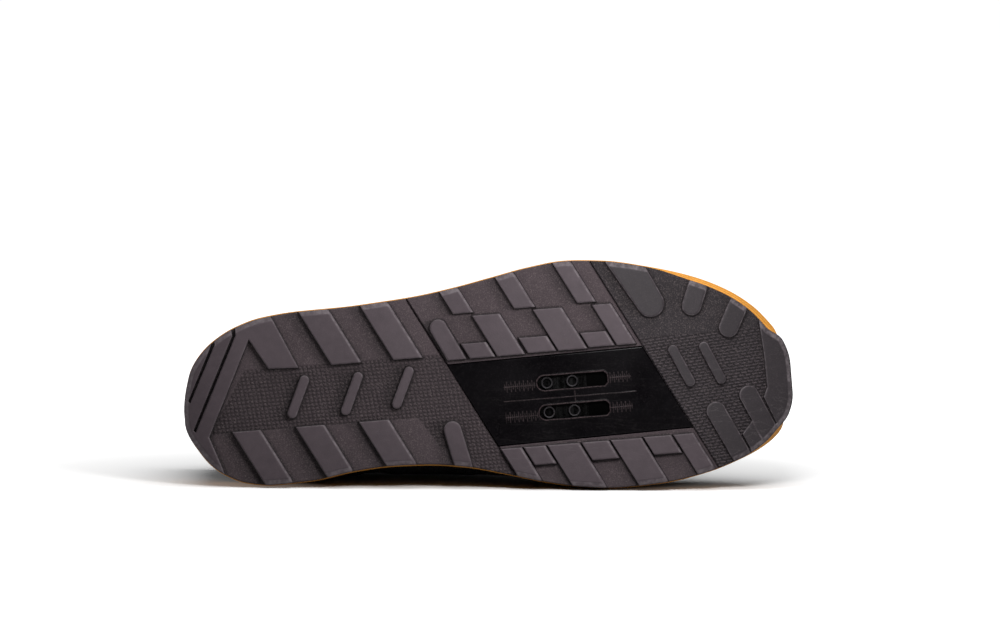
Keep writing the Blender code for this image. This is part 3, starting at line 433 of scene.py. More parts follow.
def grid_quads(rows, columns, wrap_rows=False, wrap_columns=False):
    """Corner numbers of a grid's faces, joined end to end where it wraps."""
    row = np.arange(rows if wrap_rows else rows - 1)
    step = np.arange(columns if wrap_columns else columns - 1)
    row, step = np.meshgrid(row, step, indexing="ij")
    next_row = (row + 1) % rows
    next_step = (step + 1) % columns
    here = row * columns
    above = next_row * columns
    return np.stack([here + step, here + next_step, above + next_step, above + step], axis=-1).reshape(-1, 4)


def enclosed(points, faces):
    """Signed volume inside the faces, each one a fan of triangles about its first corner."""
    total = 0.0
    for group in faces:
        first = points[group[:, 0]]
        for step in range(1, group.shape[1] - 1):
            second = points[group[:, step]]
            third = points[group[:, step + 1]]
            total += np.einsum("ij,ij->", first, np.cross(second, third))
    return total / 6


def mesh_of(name, points, faces):
    """Mesh from shoe-space points and arrays of faces, laid down, with its faces turned outwards."""
    points = np.asarray(points, float).reshape(-1, 3)
    if enclosed(points, faces) < 0:
        faces = [group[:, ::-1] for group in faces]
    mesh = bpy.data.meshes.new(name)
    corners = np.concatenate([group.ravel() for group in faces])
    lengths = np.concatenate([np.full(len(group), group.shape[1]) for group in faces])
    starts = np.concatenate([[0], np.cumsum(lengths)[:-1]])
    mesh.vertices.add(len(points))
    mesh.vertices.foreach_set("co", laid_down(points).ravel())
    mesh.loops.add(len(corners))
    mesh.loops.foreach_set("vertex_index", corners.astype(np.int32))
    mesh.polygons.add(len(lengths))
    mesh.polygons.foreach_set("loop_start", starts.astype(np.int32))
    mesh.update(calc_edges=True)
    mesh.validate()
    mesh.shade_smooth()
    return mesh


def set_attributes(mesh, **numbers):
    """Numbers carried by each point of a mesh, for its material."""
    for name, values in numbers.items():
        attribute = mesh.attributes.new(name, "FLOAT", "POINT")
        attribute.data.foreach_set("value", np.asarray(values, np.float32).ravel())


def set_uv(mesh, places):
    """Flat places of a mesh's points, in metres, as its UV map."""
    corners = np.empty(len(mesh.loops), dtype=np.int32)
    mesh.loops.foreach_get("vertex_index", corners)
    layer = mesh.uv_layers.new(name="surface")
    layer.data.foreach_set("uv", np.asarray(places, np.float32).reshape(-1, 2)[corners].ravel())


def placed(name, data):
    """New object for a mesh, a light or a camera, linked to the scene."""
    result = bpy.data.objects.new(name, data)
    bpy.context.scene.collection.objects.link(result)
    return result


def piece(name, mesh, look, nodes):
    """Finished piece that stands for its solids and rides on the shoe."""
    result = placed(name, mesh)
    mesh.materials.append(look)
    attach(result, "root")
    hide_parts(*nodes)
    return result


def joined(parts):
    """Points and faces of several bodies as one, each given as (points, faces)."""
    points = []
    faces = []
    count = 0
    for part_points, part_faces in parts:
        part_points = np.asarray(part_points).reshape(-1, 3)
        points.append(part_points)
        faces += [group + count for group in part_faces]
        count += len(part_points)
    return np.concatenate(points), faces


def swept(rings):
    """Closed body: rings of equal length joined to each other, with a flat face on the first and the last."""
    rows, columns = rings.shape[:2]
    first = np.arange(columns)[::-1][None]
    last = (rows - 1) * columns + np.arange(columns)[None]
    return rings.reshape(-1, 3), [grid_quads(rows, columns, wrap_columns=True), first, last]


def stacked(rings):
    """Faces of a body of rings that run round the shoe, one above the other. Under the first and over the last
    the faces run from one side of the shoe to the other."""
    rows, columns = rings.shape[:2]
    step = np.arange(columns // 2 - 1)
    under = np.stack([step, step + 1, columns - 2 - step, columns - 1 - step], axis=1)[:, ::-1]
    return [under, grid_quads(rows, columns, wrap_columns=True), (rows - 1) * columns + under[:, ::-1]]


# Rubber


def wall(inside, width):
    """Share of a wall's height: 0 outside an edge, 1 inside it, with a soft foot and shoulder."""
    return ease(inside, -width / 2, width / 2)


def chamfer(inside, reach, drop):
    """1 well inside an edge, falling evenly by drop over the last stretch before it."""
    return 1 - drop * (1 - np.clip(inside / reach, 0, 1))


def polygon_inside(x, y, corners):
    """Distance inside a polygon, negative outside it: the least distance to its sides, with the sign from
    how often a level line from the point crosses them."""
    nearest = np.full(x.shape, np.inf)
    odd = np.zeros(x.shape, bool)
    ends = [(corner.along * LENGTH, corner.across * BALL_WIDTH) for corner in corners]
    for (x0, y0), (x1, y1) in zip(ends, ends[1:] + ends[:1]):
        run = (x1 - x0, y1 - y0)
        share = np.clip(((x - x0) * run[0] + (y - y0) * run[1]) / (run[0] ** 2 + run[1] ** 2), 0, 1)
        nearest = np.minimum(nearest, np.hypot(x - x0 - share * run[0], y - y0 - share * run[1]))
        crosses = (y0 > y) != (y1 > y)
        height = run[1] if run[1] else 1.0
        odd ^= crosses & (x < x0 + (y - y0) * run[0] / height)
    return np.where(odd, nearest, -nearest)


def pill_inside(x, y, start, end, width, to_width=None):
    """Distance inside a shape with round ends about the line between two points, as wide as given at each."""
    run = (end[0] - start[0], end[1] - start[1])
    share = np.clip(((x - start[0]) * run[0] + (y - start[1]) * run[1]) / (run[0] ** 2 + run[1] ** 2), 0, 1)
    half = width / 2 + share * ((to_width or width) - width) / 2
    return half - np.hypot(x - start[0] - share * run[0], y - start[1] - share * run[1])


LUG_DRAFT = 0.7 * MM
FRONT_CHAMFER = 1.3 * MM
END_CHAMFER = 2.6 * MM
SIDE_CHAMFER = 0.6 * MM
SLIT_DRAFT = 0.45 * MM
SLIT_DEPTH = 0.85
KNURL_DEPTH = 0.5 * MM
KNURL_EDGE = 0.8 * MM
HEEL_KNURL_PITCH = (2.0 * MM, 1.8 * MM)
TOE_KNURL_PITCH = (3.2 * MM, 1.45 * MM)
ROUND_OVER = 0.6 * MM


def bar_lug(x, y, bar):
    """Share of a straight lug's height: the least of its four walls, with a chamfer along its front side."""
    place = x - SLANT * y
    lean = math.hypot(1, SLANT)
    rear = (place - bar.start * LENGTH - SIPE / 2) / lean
    front = (bar.end * LENGTH - SIPE / 2 - place) / lean
    near = y - bar.near * BALL_WIDTH
    far = bar.far * BALL_WIDTH - y
    sides = [
        wall(rear, LUG_DRAFT),
        wall(front, LUG_DRAFT) * chamfer(front, FRONT_CHAMFER, 0.26),
        wall(near, LUG_DRAFT) * chamfer(near, SIDE_CHAMFER, 0.10),
        wall(far, LUG_DRAFT) * chamfer(far, SIDE_CHAMFER, 0.10),
    ]
    return np.minimum.reduce(sides)


def round_lug(inside):
    """Share of a round-ended lug's height, with a small chamfer all round."""
    return wall(inside, LUG_DRAFT) * chamfer(inside, 0.8 * MM, 0.14)


def block_lug(inside):
    """Share of a many-sided lug's height, with a small chamfer all round."""
    return wall(inside, LUG_DRAFT) * chamfer(inside, 0.7 * MM, 0.12)


def finger_lug(x, y, finger):
    """Share of a finger lug's height."""
    start = (finger.along * LENGTH, finger.across * BALL_WIDTH)
    end = (finger.to_along * LENGTH, finger.to_across * BALL_WIDTH)
    widths = (finger.width * FINGER_WIDTH, finger.to_width * FINGER_WIDTH)
    return round_lug(pill_inside(x, y, start, end, *widths))


def pill_lug(x, y, pill):
    """Share of a pill's height. Its tips are the table's two points."""
    start = Vector((pill.along * LENGTH, pill.across * BALL_WIDTH))
    end = Vector((pill.to_along * LENGTH, pill.to_across * BALL_WIDTH))
    inset = (end - start).normalized() * PILL_WIDTH / 2
    return round_lug(pill_inside(x, y, start + inset, end - inset, PILL_WIDTH))


def highest(shares):
    """The highest of several lugs at each point."""
    return np.maximum.reduce(list(shares))


def heel_lugs(x, y):
    """Lugs of the heel, with the slits in its border."""
    shares = [block_lug(polygon_inside(x, y, HEEL_BORDER))]
    shares += [bar_lug(x, y, bar) for bar in HEEL_BARS]
    shares += [finger_lug(x, y, finger) for finger in HEEL_FINGERS]
    shares += [pill_lug(x, y, pill) for pill in HEEL_PILLS]
    lugs = highest(shares)
    for slit in HEEL_SLITS:
        lugs = lugs * (1 - SLIT_DEPTH * wall(polygon_inside(x, y, slit), SLIT_DRAFT))
    return lugs


def ball_outer_lugs(x, y):
    """Lugs of the strip on the outer side of the ball. The finger ends level with the bars beside it."""
    level = wall(BALL_OUTER_BARS[1].far * BALL_WIDTH - y, LUG_DRAFT)
    shares = [bar_lug(x, y, bar) for bar in BALL_OUTER_BARS]
    shares += [np.minimum(finger_lug(x, y, finger), level) for finger in BALL_FINGERS]
    return highest(shares)


def ball_inner_lugs(x, y):
    """Lugs of the strip on the inner side of the ball."""
    return highest(bar_lug(x, y, bar) for bar in BALL_INNER_BARS)


def toe_lugs(x, y):
    """Lugs of the toe."""
    shares = [finger_lug(x, y, finger) for finger in TOE_FINGERS]
    shares += [pill_lug(x, y, pill) for pill in TOE_PILLS]
    shares += [block_lug(polygon_inside(x, y, corners)) for corners in (TOE_BLOCK, BUMPER_TREAD)]
    band = wall(BORDER - rubber_inside(x, y), LUG_DRAFT) * (y > 0)
    shares.append(band * wall(x - place_of(BORDER_FROM + 0.02), LUG_DRAFT))
    return highest(shares)


def ridges(value, pitch):
    """Even saw teeth from 0 in the valleys to 1 on the crests."""
    return 1 - np.abs(2 * (value / pitch - np.floor(value / pitch)) - 1)


def heel_knurl(x, y):
    """Small pyramids in rows between the heel's two rows of lugs."""
    field = wall(polygon_inside(x, y, HEEL_KNURL), KNURL_EDGE)
    long_pitch, row_pitch = HEEL_KNURL_PITCH
    peaks = np.minimum(ridges(x - 0.12 * y, long_pitch), ridges(y, row_pitch))
    return field, ease(peaks, 0, 0.8)


def toe_knurl(x, y):
    """Rows of small long bumps, each row half a step off the last."""
    field = wall(polygon_inside(x, y, TOE_KNURL), KNURL_EDGE)
    long_pitch, row_pitch = TOE_KNURL_PITCH
    row = y + 0.07 * x
    shift = long_pitch / 2 * (np.floor(row / row_pitch) % 2)
    peaks = np.minimum(2.4 * ridges(x - 0.3 * y + shift, long_pitch), 1.1 * ridges(row, row_pitch))
    return field, ease(peaks, 0, 0.9)


def plain_base(x, y):
    """No knurl."""
    return np.zeros(x.shape), np.zeros(x.shape)


def rubber_rim():
    """Fine polyline round the rubber, with the outward direction at each point."""
    turn, side = loop_of(np.linspace(0, 1, 360))
    return edge_points(turn, side, rim(turn, side))


RUBBER_RIM = rubber_rim()


def rubber_inside(x, y):
    """Distance inside the rubber's outline, measured square to it at its nearest point."""
    rim_points, outward = RUBBER_RIM
    places = np.column_stack([x.ravel(), y.ravel()]).astype(np.float32)
    result = np.empty(len(places))
    chunk = 20000
    for first in range(0, len(places), chunk):
        part = places[first : first + chunk]
        apart = np.hypot(part[:, None, 0] - rim_points[None, :, 0], part[:, None, 1] - rim_points[None, :, 1])
        nearest = apart.argmin(axis=1)
        off = part - rim_points[nearest]
        result[first : first + chunk] = -np.einsum("ij,ij->i", off, outward[nearest])
    return result.reshape(x.shape)


def rim_crossing(place, slant, side):
    """Where slanted lines meet the rubber's outline on one side: the last step of the outline that passes
    the line's place, with the crossing worked out between its two ends."""
    turn = np.linspace(0, 1, 1500)
    points, _ = edge_points(turn, np.full(turn.shape, float(side)), rim(turn, side))
    offset = points[None, :, 0] - slant[:, None] * points[None, :, 1]
    behind = offset[:, :-1] <= place[:, None]
    last = behind.shape[1] - 1 - behind[:, ::-1].argmax(axis=1)
    line = np.arange(len(place))
    before = offset[line, last]
    after = offset[line, last + 1]
    share = np.clip((place - before) / np.where(after == before, 1, after - before), 0, 1)
    return points[last] + share[:, None] * (points[last + 1] - points[last])


def spaced(start, end, step, edges=()):
    """Places from start to end about a step apart, with extra ones close on both sides of each edge."""
    count = int(round((end - start) / step)) + 1
    places = list(np.linspace(start, end, count))
    for edge in edges:
        places += [edge + off * MM for off in (-0.36, -0.24, -0.12, 0.0, 0.12, 0.24, 0.36)]
    places = np.unique(np.round([place for place in places if start <= place <= end], 6))
    keep = np.concatenate([[True], np.diff(places) > 0.05 * MM])
    keep[-1] = True
    return places[keep]


def line_grid(near_end, far_end, shares):
    """Points on lines between two ends each, at the same shares of every line."""
    return near_end[:, None] + shares[None, :, None] * (far_end - near_end)[:, None]


FOOT_REACH = 4
REAR_REACH = 24


def lug_foot_shade(lug, x):
    """Painted shade at the lugs' feet: the lugs' height averaged over a few points each way, less their
    own height. Behind each lug a painted shadow reaches further and fades out, less strongly at the toe."""
    wide = np.pad(lug, FOOT_REACH, mode="edge")
    span = 2 * FOOT_REACH + 1
    rows = sum(wide[step : step + lug.shape[0]] for step in range(span))
    both = sum(rows[:, step : step + lug.shape[1]] for step in range(span))
    near = ease(both / span**2 - lug, 0.02, 0.42)
    # Painted shadow behind each lug, fading with distance.
    ahead = np.pad(lug, [(0, REAR_REACH), (0, 0)])
    behind = [ahead[step : step + len(lug)] * (1 - step / REAR_REACH) ** 0.9 for step in range(1, REAR_REACH)]
    rear = np.clip(np.maximum.reduce(behind), 0, 1) * (1 - np.clip(lug / 0.3, 0, 1))
    toe = ease(x, TOE_SPLIT * LENGTH - 5 * MM, TOE_SPLIT * LENGTH + 15 * MM)
    return np.maximum(near, rear * (1 - 0.6 * toe))


def rubber_body(name, plan, grooves, lugs, knurl, look, nodes):
    """Rubber section: lugs and knurl stand down from its base, and its sides rise to a flat back.

    Each line of the plan becomes one closed ring: its ground face, both sides and the back. A line that
    lies in a groove, given by a share from 0 on the base to 1 at its bottom, has its face near the back."""
    x = plan[..., 0]
    y = plan[..., 1]
    inside = rubber_inside(x, y)
    lug = lugs(x, y) * chamfer(inside, END_CHAMFER, 0.30)
    field, peaks = knurl(x, y)
    base = KNURL_DEPTH * field * (1 - peaks)
    depth = (1 - lug) * (LUG_HEIGHT + base * (1 - lug))
    depth = depth + 0.5 * MM * (1 - np.clip(inside / ROUND_OVER, 0, 1)) ** 2
    depth = depth + grooves[:, None] * (SOLE_TOP - 0.3 * MM - depth)
    face = with_height(plan, rise(x) + depth)
    ends = []
    for index in (0, -1):
        edge = face[:, index]
        ends.append(with_height(edge[:, :2], rise(edge[:, 0]) + SOLE_TOP))
    rings = np.concatenate([ends[0][:, None], face, ends[1][:, None]], axis=1)
    points, faces = swept(rings)
    mesh = mesh_of(name, points, faces)
    pad = [(0, 0), (1, 1)]
    set_attributes(
        mesh,
        lug=np.pad(lug, pad),
        # foot carries the painted shade and painted shadow at the lugs' feet.
        foot=np.pad(lug_foot_shade(lug, x), pad),
        toe=np.full(len(points), float(nodes == ["outsole_toe"])),
        knurl=np.pad(field * (1 - lug), pad),
        valley=np.pad(field * (1 - peaks) * (1 - lug), pad),
    )
    return piece(name, mesh, look, nodes)


def split_places():
    """Rear and front sides of the two splits, as places on the middle line."""
    heel = HEEL_SPLIT * LENGTH
    toe = TOE_SPLIT * LENGTH
    return heel - GROOVE / 2, heel + GROOVE / 2, toe - GROOVE / 2, toe + GROOVE / 2


def with_grooves(place, rear, front):
    """Lines of a section with its half of the groove at its rear or its front. Returns places and shares."""
    half = GROOVE / 2 - 0.04 * MM
    places = [place]
    shares = [np.zeros(len(place))]
    if rear:
        places.insert(0, np.array([place[0] - half, place[0] - half + 0.1 * MM, place[0] - 0.12 * MM]))
        shares.insert(0, np.array([1.0, 1.0, 1.0]))
    if front:
        places.append(np.array([place[-1] + 0.12 * MM, place[-1] + half - 0.1 * MM, place[-1] + half]))
        shares.append(np.array([1.0, 1.0, 1.0]))
    return np.concatenate(places), np.concatenate(shares)


def bar_edges(bars):
    """Places of the front and rear sides of a table of bars."""
    edges = []
    for bar in bars:
        edges += [bar.start * LENGTH + SIPE / 2, bar.end * LENGTH - SIPE / 2]
    return edges


def heel_rubber(look):
    """Heel section. Its lines stand square to the shoe at the heel back and lean over to the slant."""
    end = split_places()[0]
    place = np.concatenate([16 * MM * np.linspace(0.02, 1, 60)[:-1] ** 2, np.linspace(16 * MM, end, 340)])
    place, grooves = with_grooves(place, False, True)
    slant = SLANT * ease(place, 0, 75 * MM)
    shares = np.linspace(0, 1, 262)
    plan = line_grid(rim_crossing(place, slant, -1), rim_crossing(place, slant, 1), shares)
    return rubber_body("heel_rubber", plan, grooves, heel_lugs, heel_knurl, look, ["outsole_heel"])


def window_line(place, rows):
    """Side of the window at slanted lines, from its place across at its rear and its front."""
    _, start, end, _ = split_places()
    across = np.interp(place, [start, end], np.array(rows) * BALL_WIDTH)
    return np.stack([place + SLANT * across, across], axis=1)


def ball_outer_rubber(look):
    """Strip on the outer side of the ball."""
    _, start, end, _ = split_places()
    place, grooves = with_grooves(spaced(start, end, 0.42 * MM, bar_edges(BALL_OUTER_BARS)), True, True)
    slant = np.full(place.shape, SLANT)
    shares = np.linspace(0, 1, 150)
    plan = line_grid(rim_crossing(place, slant, -1), window_line(place, WINDOW_OUTER), shares)
    nodes = ["outsole_ball_outer"]
    return rubber_body("ball_outer_rubber", plan, grooves, ball_outer_lugs, plain_base, look, nodes)


def ball_inner_rubber(look):
    """Strip on the inner side of the ball."""
    _, start, end, _ = split_places()
    place, grooves = with_grooves(spaced(start, end, 0.42 * MM, bar_edges(BALL_INNER_BARS)), True, True)
    slant = np.full(place.shape, SLANT)
    shares = np.linspace(0, 1, 90)
    plan = line_grid(window_line(place, WINDOW_INNER), rim_crossing(place, slant, 1), shares)
    nodes = ["outsole_ball_inner"]
    return rubber_body("ball_inner_rubber", plan, grooves, ball_inner_lugs, plain_base, look, nodes)


def toe_rubber(look):
    """Toe section. Its lines lean less towards the toe tip, where they stand square to the shoe."""
    start = split_places()[3]
    reach = LENGTH - start
    share = np.concatenate([np.linspace(0, 0.82, 150)[:-1], 1 - 0.18 * np.linspace(1, 0.02, 70) ** 2])
    place, grooves = with_grooves(start + reach * share, True, False)
    slant = SLANT * (1 - ease(place, start, LENGTH))
    shares = np.linspace(0, 1, 300)
    plan = line_grid(rim_crossing(place, slant, -1), rim_crossing(place, slant, 1), shares)
    return rubber_body("toe_rubber", plan, grooves, toe_lugs, toe_knurl, look, ["outsole_toe"])


BUMPER_SECTION = [
    (0.0, 0.0),
    (0.0, 0.2),
    (0.0, 0.5),
    (0.0, 0.8),
    (0.0, 0.93),
    (0.15, 0.98),
    (0.4, 1.0),
    (0.85, 1.0),
    (1.0, 0.9),
    (1.0, 0.5),
    (1.0, 0.0),
]


def toe_bumper(look):
    """Wall that wraps up the toe front. Each ring is its section, given as shares of its wall and its height:
    outer face, rounded top and inner face."""
    turns = np.linspace(BUMPER_FROM + 0.005, 1, 60)
    turn, side = loop_of(turns)
    outer, _ = edge_points(turn, side, rim(turn, side))
    inner, _ = edge_points(turn, side, bumper_room(turn) - GAP)
    low = rise(outer[:, 0]) + 0.6 * MM
    fall = ease(turn, BUMPER_FROM, BUMPER_FROM + 0.035)
    high = rise(outer[:, 0]) + SOLE_TOP + BUMPER_HEIGHT * fall
    rings = []
    for inset, up in BUMPER_SECTION:
        rings.append(with_height(outer + inset * (inner - outer), low + up * (high - low)))
    points, faces = swept(np.stack(rings, axis=1))
    mesh = mesh_of("toe_bumper", points, faces)
    none = np.zeros(len(points))
    set_attributes(mesh, lug=none + 1, foot=none, toe=none + 1, knurl=none, valley=none)
    return piece("toe_bumper", mesh, look, ["outsole_toe"])


# Midsole


SIDE_RINGS = 44
RIBS = 6
RIB_TOP = 0.5
RIB_DEPTH = 0.28 * MM


def midsole(look, underside_shade_look):
    """Ochre cup sole whose underside is painted near black as shade. Rings run round the shoe from its
    underside up the ribbed side, over the rim and down to the footbed. The side leans out with the rim and has
    ribs in its lower half."""
    turn, side = loop_of(np.linspace(0, 1, 221))
    room = bumper_room(turn)
    rings = []
    grooves = []
    for up in np.linspace(0, 1, SIDE_RINGS + 1):
        lean_out = smooth([0, 0.08, 0.16, 0.24, 0.32, 0.42, 1.0], [1.0, 0.72, 0.42, 0.30, 0.10, 0.0, 0.0], up)
        lean_in = smooth([0, 0.42, 0.50, 0.76, 1.0], [0, 0, 0.10, 0.42, 1.0], up)
        rib = RIB_DEPTH * (0.5 - 0.5 * math.cos(math.tau * RIBS * up / RIB_TOP)) * float(up < RIB_TOP)
        inset = room + lean_out * rim(turn, side) + rib + lean_in * RIM_LEAN
        points, _ = edge_points(turn, side, inset)
        low = rise(points[:, 0]) + SOLE_TOP + GAP
        high = footbed(points[:, 0]) + RIM_HEIGHT
        rings.append(with_height(points, low + up * (high - low)))
        grooves.append(np.full(len(points), rib / RIB_DEPTH))
    for inset, drop in ((0.25, -0.06), (0.75, -0.06), (1.0, 0.0)):
        points, _ = edge_points(turn, side, room + RIM_LEAN + inset * RIM_WALL)
        rings.append(with_height(points, footbed(points[:, 0]) + RIM_HEIGHT * (1 - drop)))
    points, _ = edge_points(turn, side, room + RIM_LEAN + RIM_WALL)
    rings.append(with_height(points, footbed(points[:, 0])))
    rings = np.array(rings)
    faces = stacked(rings)
    mesh = mesh_of("midsole_cup", rings, faces)
    grooves += [np.zeros(len(turn))] * (len(rings) - len(grooves))
    set_attributes(mesh, groove=np.array(grooves))
    result = piece("midsole_cup", mesh, look, ["midsole"])
    # Underside faces take the near black painted shade, where they show in the splits and the slots.
    mesh.materials.append(underside_shade_look)
    hidden = np.zeros(len(mesh.polygons), dtype=np.int32)
    hidden[: len(faces[0])] = 1
    mesh.polygons.foreach_set("material_index", hidden)
    return result


# Upper


def wall_rows():
    """The upper's sections as columns in metres, each with the turn of its foot."""
    table = COLLAR + THROAT
    heights = np.array([HEEL_HEIGHT] * len(COLLAR) + [INSTEP_HEIGHT] * len(THROAT))
    return {
        "turn": turn_of(column(table, "foot")),
        "top": column(table, "top") * LENGTH,
        "half": column(table, "half") * BALL_WIDTH,
        "ridge": column(table, "ridge") * BALL_WIDTH,
        "outer_up": column(table, "outer_up") * heights,
        "inner_up": column(table, "inner_up") * heights,
        "stand": column(table, "stand"),
        "bulge": column(table, "bulge") * BALL_WIDTH,
        "slope": np.radians(column(table, "slope")),
        "reach": column(table, "reach"),
    }


WAIST_SWELL = 16 * MM
WAIST = 0.41
WAIST_REACH = 0.12


def sock_inset(turn):
    """How far the foot of the upper's wall stands inside the sole edge."""
    return bumper_room(turn) + RIM_LEAN + RIM_WALL + GAP


def wall_curve(turn, side):
    """Four handles of the wall's section curve, from the top of the midsole's rim to the top edge."""
    rows = wall_rows()
    read = {name: smooth(rows["turn"], rows[name], turn) for name in rows if name != "turn"}
    foot, outward = edge_points(turn, side, sock_inset(turn))
    start = with_height(foot, footbed(foot[:, 0]) + RIM_HEIGHT)
    up = np.where(side < 0, read["outer_up"], read["inner_up"])
    end = np.column_stack([read["top"], read["ridge"] + side * read["half"], up])
    lead = 0.03
    out = start[:, :2] - end[:, :2] + lead * outward
    out = out / np.linalg.norm(out, axis=1)[:, None]
    height = end[:, 2] - start[:, 2]
    waist = np.exp(-(((turn - turn_of(WAIST)) / WAIST_REACH) ** 2)) * np.where(side > 0, WAIST_SWELL, 0)
    first = start + with_height(outward * (read["bulge"] + waist)[:, None], read["stand"] * height)
    span = np.linalg.norm(end - start, axis=1) * read["reach"]
    fall = with_height(out * np.cos(read["slope"])[:, None], -np.sin(read["slope"]))
    return start, first, end + fall * span[:, None], end


def wall_point(handles, share):
    """Points of the section curves at a share from the rim to the top edge."""
    start, first, second, end = handles
    rest = 1 - share
    return rest**3 * start + 3 * rest**2 * share * first + 3 * rest * share**2 * second + share**3 * end


def wall_normals(grid):
    """Outward directions of a grid of rings, from its two directions on the surface."""
    along = np.roll(grid, -1, axis=1) - np.roll(grid, 1, axis=1)
    upward = np.gradient(grid, axis=0)
    normal = np.cross(along, upward)
    return normal / np.linalg.norm(normal, axis=2)[:, :, None]


OVERLAY_EDGE = 0.006
SEAM_INSET = 0.011
COLLAR_END = 0.365
COLLAR_FADE = 0.06
COLLAR_DITCH = 0.62


def past(value, limit):
    """1 past a limit, with a soft edge just before it."""
    return ease(value, limit - OVERLAY_EDGE, limit)


def overlay_share(turn, share):
    """How far the toe cap, the heel counter and the eyestay stand out, each with its own soft edge."""
    cap = past(turn, turn_of(TOE_CAP_FROM)) * past(-share, -TOE_CAP_TOP)
    counter = past(-turn, -turn_of(COUNTER_TO)) * past(-share, -COUNTER_TOP)
    eyestay = past(turn, turn_of(THROAT_FROM)) * past(share, EYESTAY_EDGE)
    return cap, counter, eyestay


def collar_reach(turn):
    """1 round the collar, falling evenly to 0 where the throat starts."""
    return np.clip((COLLAR_END - turn) / COLLAR_FADE, 0, 1)


def collar_padding(turn, share):
    """Share of the collar's padding, from 0 on the wall to 1 round the collar."""
    return ease(share, 0.55, 0.85) * collar_reach(turn)


CREASE_DEPTH = 1.7 * MM
CREASE_LEAN = 0.030

Crease = namedtuple("Crease", "along side low high width depth")
CREASES = [
    Crease(0.660, -1, 0.46, 0.93, 0.012, 1.0),
    Crease(0.700, -1, 0.38, 0.93, 0.014, 1.3),
    Crease(0.742, -1, 0.42, 0.97, 0.013, 1.0),
    Crease(0.668, 1, 0.44, 0.93, 0.012, 0.9),
    Crease(0.708, 1, 0.38, 0.93, 0.014, 1.3),
    Crease(0.752, 1, 0.42, 0.97, 0.013, 1.0),
    Crease(0.780, -1, 0.60, 1.00, 0.010, 0.6),
    Crease(0.785, 1, 0.62, 1.00, 0.010, 0.6),
    Crease(0.235, -1, 0.35, 0.80, 0.013, 0.8),
    Crease(0.300, -1, 0.30, 0.78, 0.014, 0.9),
    Crease(0.245, 1, 0.35, 0.80, 0.013, 0.9),
    Crease(0.310, 1, 0.32, 0.78, 0.014, 0.8),
    Crease(0.520, -1, 0.30, 0.62, 0.016, 0.6),
    Crease(0.530, 1, 0.28, 0.62, 0.016, 0.7),
]


VENTS_ALONG = (0.600, 0.815)
VENTS_UP = (0.34, 0.56)


def vent_share(turn, share):
    """1 on the two patches of pinholes beside the ball of the foot, 0 elsewhere."""
    along = (turn > turn_of(VENTS_ALONG[0])) & (turn < turn_of(VENTS_ALONG[1]))
    return (along & (share > VENTS_UP[0]) & (share < VENTS_UP[1])).astype(float)


def crease_depth(turn, side, share):
    """Soft troughs across the flex of the forefoot and the ankle, each with a low ridge on both sides. A
    trough is a bell across its line, which leans forward as it climbs, and fades out at its two ends."""
    depth = np.zeros(turn.shape)
    for crease in CREASES:
        middle = turn_of(crease.along) + CREASE_LEAN * (share - 0.7)
        off = (turn - middle) / crease.width
        bell = np.exp(-(off**2)) - 0.45 * np.exp(-((np.abs(off) - 1.9) ** 2) / 0.9)
        reach = ease(share, crease.low, crease.low + 0.16) * ease(-share, -crease.high, 0.10 - crease.high)
        depth += np.where(side * crease.side > 0, CREASE_DEPTH * crease.depth * bell * reach, 0)
    return depth


def seam_share(turn, share):
    """Fine pressed band just inside the edge of each overlay, where its stitches run."""
    cap = np.minimum(turn - turn_of(TOE_CAP_FROM), (TOE_CAP_TOP - share) * 0.5)
    counter = np.minimum(turn_of(COUNTER_TO) - turn, (COUNTER_TOP - share) * 0.5)
    eyestay = np.minimum(turn - turn_of(THROAT_FROM), (share - EYESTAY_EDGE) * 0.5)
    bands = [np.exp(-(((inside - SEAM_INSET) / 0.0035) ** 2)) for inside in (cap, counter, eyestay)]
    return np.maximum.reduce(bands)


